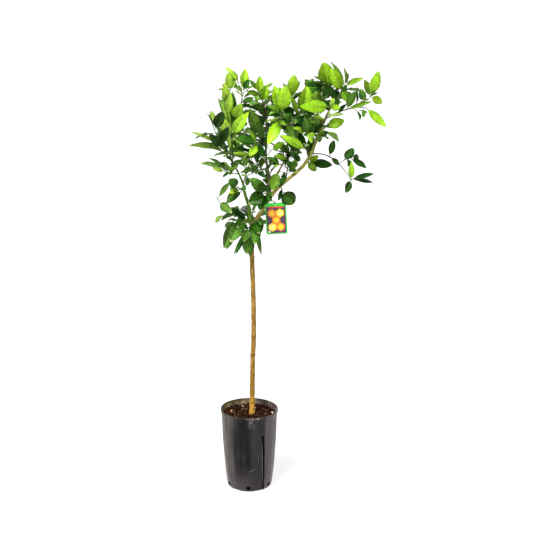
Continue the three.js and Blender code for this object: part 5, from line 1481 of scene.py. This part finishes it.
def card_place(flat, depth):
    """Points of the card's plane, (a, b) from its middle and a depth towards the front, in the frame: turned
    by the lean about the line of sight and moved to its place."""
    lean = math.radians(CARD["lean"])
    a, b = flat[..., 0], flat[..., 1]
    x, z = a * math.cos(lean) - b * math.sin(lean), a * math.sin(lean) + b * math.cos(lean)
    return np.stack([x, -depth * np.ones_like(x), z], -1) + CARD_PLACE


def rounded(width, height, corner):
    """A rounded rectangle: for each of a ring of directions, the corner of the inner box that lies furthest
    that way, plus the corner's radius along the direction."""
    angle = ring_angles(CARD_POINTS) + np.pi / CARD_POINTS
    way = np.stack([np.cos(angle), np.sin(angle)], -1)
    w, h = width / 2 - corner, height / 2 - corner
    return np.clip(way * 1e4, [-w, -h], [w, h]) + corner * way


def plate(shape, depth):
    """A thin closed plate of ink over a flat shape that all its rays from the middle reach."""
    depths = (depth - INK_FOOT, depth + INK)
    points = [card_place(flat, d) for flat in (shape, shape.mean(0)[None]) for d in depths]
    return (np.vstack(points), *ring_faces(2, len(shape)))


edge = rounded(CARD["width"], CARD["height"], CARD["corner"])
hole_middle = np.array([0, CARD["height"] / 2 - CARD["hole_drop"]])
hole = hole_middle + CARD["hole"] * unit(edge - hole_middle)
face = CARD["thick"] / 2
rings = [card_place(hole + (edge - hole) * share, depth)
         for shares, depth in (((0, 0.3, 0.7, 1), face), ((1, 0.7, 0.3, 0), -face)) for share in shares]
card_skin = (np.vstack(rings), grid_quads(len(rings), CARD_POINTS, wrap=True), np.zeros((0, 3), int))
print("hole", 2 * CARD["hole"], "mm wide,", CARD["hole_drop"], "mm below the top edge")

# %% [markdown]
# The inks are bright and lie under a clear gloss. Each colour is one piece of plates: the field first, then
# the tiles and bars on it, and a smaller tile of another colour on each tile.

# %% Card and its print
INKS = {"plum": "#4e2c48", "orange": "#ff8c0c", "yellow": "#ffd020", "pale_yellow": "#fff08a",
        "red": "#f03a20", "white": "#f6f4ee", "ivory": "#dfe6c4"}
GRAIN_SIZE = 0.4 * MM
TILE_RADIUS, CORE = 15, 0.6  # core: share of a tile's radius that its inner tile has
TILES = [(-13.4, 18), (13.4, 18), (0, -5.2), (-13.4, -28.4), (13.4, -28.4)]


def tiles(centres, share, layer):
    """Six-sided plates round the centres, a share of the full size, on the given layer of ink."""
    corner = np.radians(60 * np.arange(6) + 30)
    shape = TILE_RADIUS * share * np.stack([np.cos(corner), np.sin(corner)], -1)
    return [plate(np.array(centre) + shape, face + layer * INK) for centre in centres]


def ink_finish(name, colour):
    """Offset ink on glossy polypropylene card: even colour with a faint 0.4 mm grain, under a clear gloss."""
    material, tree = new_finish(name)
    grain = add(tree, "TexNoise", Vector=add(tree, "TexCoord", output="Object"), Scale=1 / GRAIN_SIZE,
                Detail=1.0)
    tone = add(tree, "MapRange", grain, 0.0, 1.0, 0.92, 1.06)
    return dressed(material, add(tree, "HueSaturation", Value=tone, Color=colour), 0.28, 0.5, 1.49)


field = rounded(CARD["width"] - 7, CARD["height"] - 16, 4) - [0, 4.0]
prints = {
    "plum": [plate(field, face)],
    "orange": tiles(TILES[::2], 1, 1),
    "yellow": tiles(TILES[1::2], 1, 1) + tiles(TILES[::2], CORE, 2),
    "pale_yellow": tiles(TILES[1::2], CORE, 2),
    "red": [plate(rounded(50, 4.6, 2.3) + [0, 37.4], face + INK)],
    "white": [plate(rounded(9, 4.6, 2.3) + [-25, -44], face + INK)],
    "ivory": [plate(field, -face - INK)],
}
card = piece("hanging_card", card_skin, [ink_finish("green_printed_card", "#3fdc34")])
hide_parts("label")
for ink, plates in prints.items():
    made = piece(f"card_print_{ink}", joined(plates), [ink_finish(f"{ink}_ink", INKS[ink])], flat=True)

# %% [markdown]
# A moulded loop of thin black plastic holds the card. It runs through the hole and over the bough, with 1.9
# mm of slack all round, on the same route as in the solids. The route is closed, so the cubic that makes the
# limbs runs right round it.

# %% Tie
TIE = {"radius": 0.9, "place": 0.19, "clear": 1.9, "rows": 96, "sides": 8}
TIE_ANGLES = (125, 75, 25, -25, -75, -125)  # degrees round the bough from its top
NEAR_HOLE = np.array([(-1.2, -3.2, 3.0), (-1.2, -2.0, 7.5), (-1.2, 3.2, 3.0)])  # steps in mm from the hole


def tie_route():
    """Points of the loop: the hole, up in front of the card, round the bough at its clearance, and down
    behind the card."""
    hole = card_place(hole_middle, 0.0)
    bough, place = LIMBS["bough_right"], TIE["place"]
    along = bough.along(place)
    top = square_to(UP, along)
    front = np.cross(along, top)
    reach = float(bough.radius(place)) + TIE["clear"]
    over = [bough.at(place) + turned(top, front, math.radians(angle)) * reach for angle in TIE_ANGLES]
    near = hole + NEAR_HOLE
    return np.array([hole, near[0], near[1], *over, near[2]])


def loop_through(points, count):
    """Count points along a closed curve through the points."""
    place = np.arange(count) / count * len(points)
    k = place.astype(int)
    return between(*(points[(k + step) % len(points)] for step in (-1, 0, 1, 2)), (place - k)[:, None])


line = loop_through(tie_route(), TIE["rows"])
tangent = unit(np.roll(line, -1, 0) - np.roll(line, 1, 0))
flat_axis = unit(np.cross(line[24] - line[0], line[60] - line[0]))
across = unit(flat_axis - tangent * (tangent @ flat_axis)[:, None])
radius = np.full((TIE["rows"], TIE["sides"]), TIE["radius"])
tie_points = ring_points(line, across, np.cross(tangent, across), radius).reshape(-1, 3)
tie_skin = (tie_points, grid_quads(TIE["rows"], TIE["sides"], wrap=True), np.zeros((0, 3), int))
tie_finish, _ = new_finish("black_nylon_tie")
tie = piece("card_tie", tie_skin, [dressed(tie_finish, "#16171a", 0.4)])
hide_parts("label_tie")
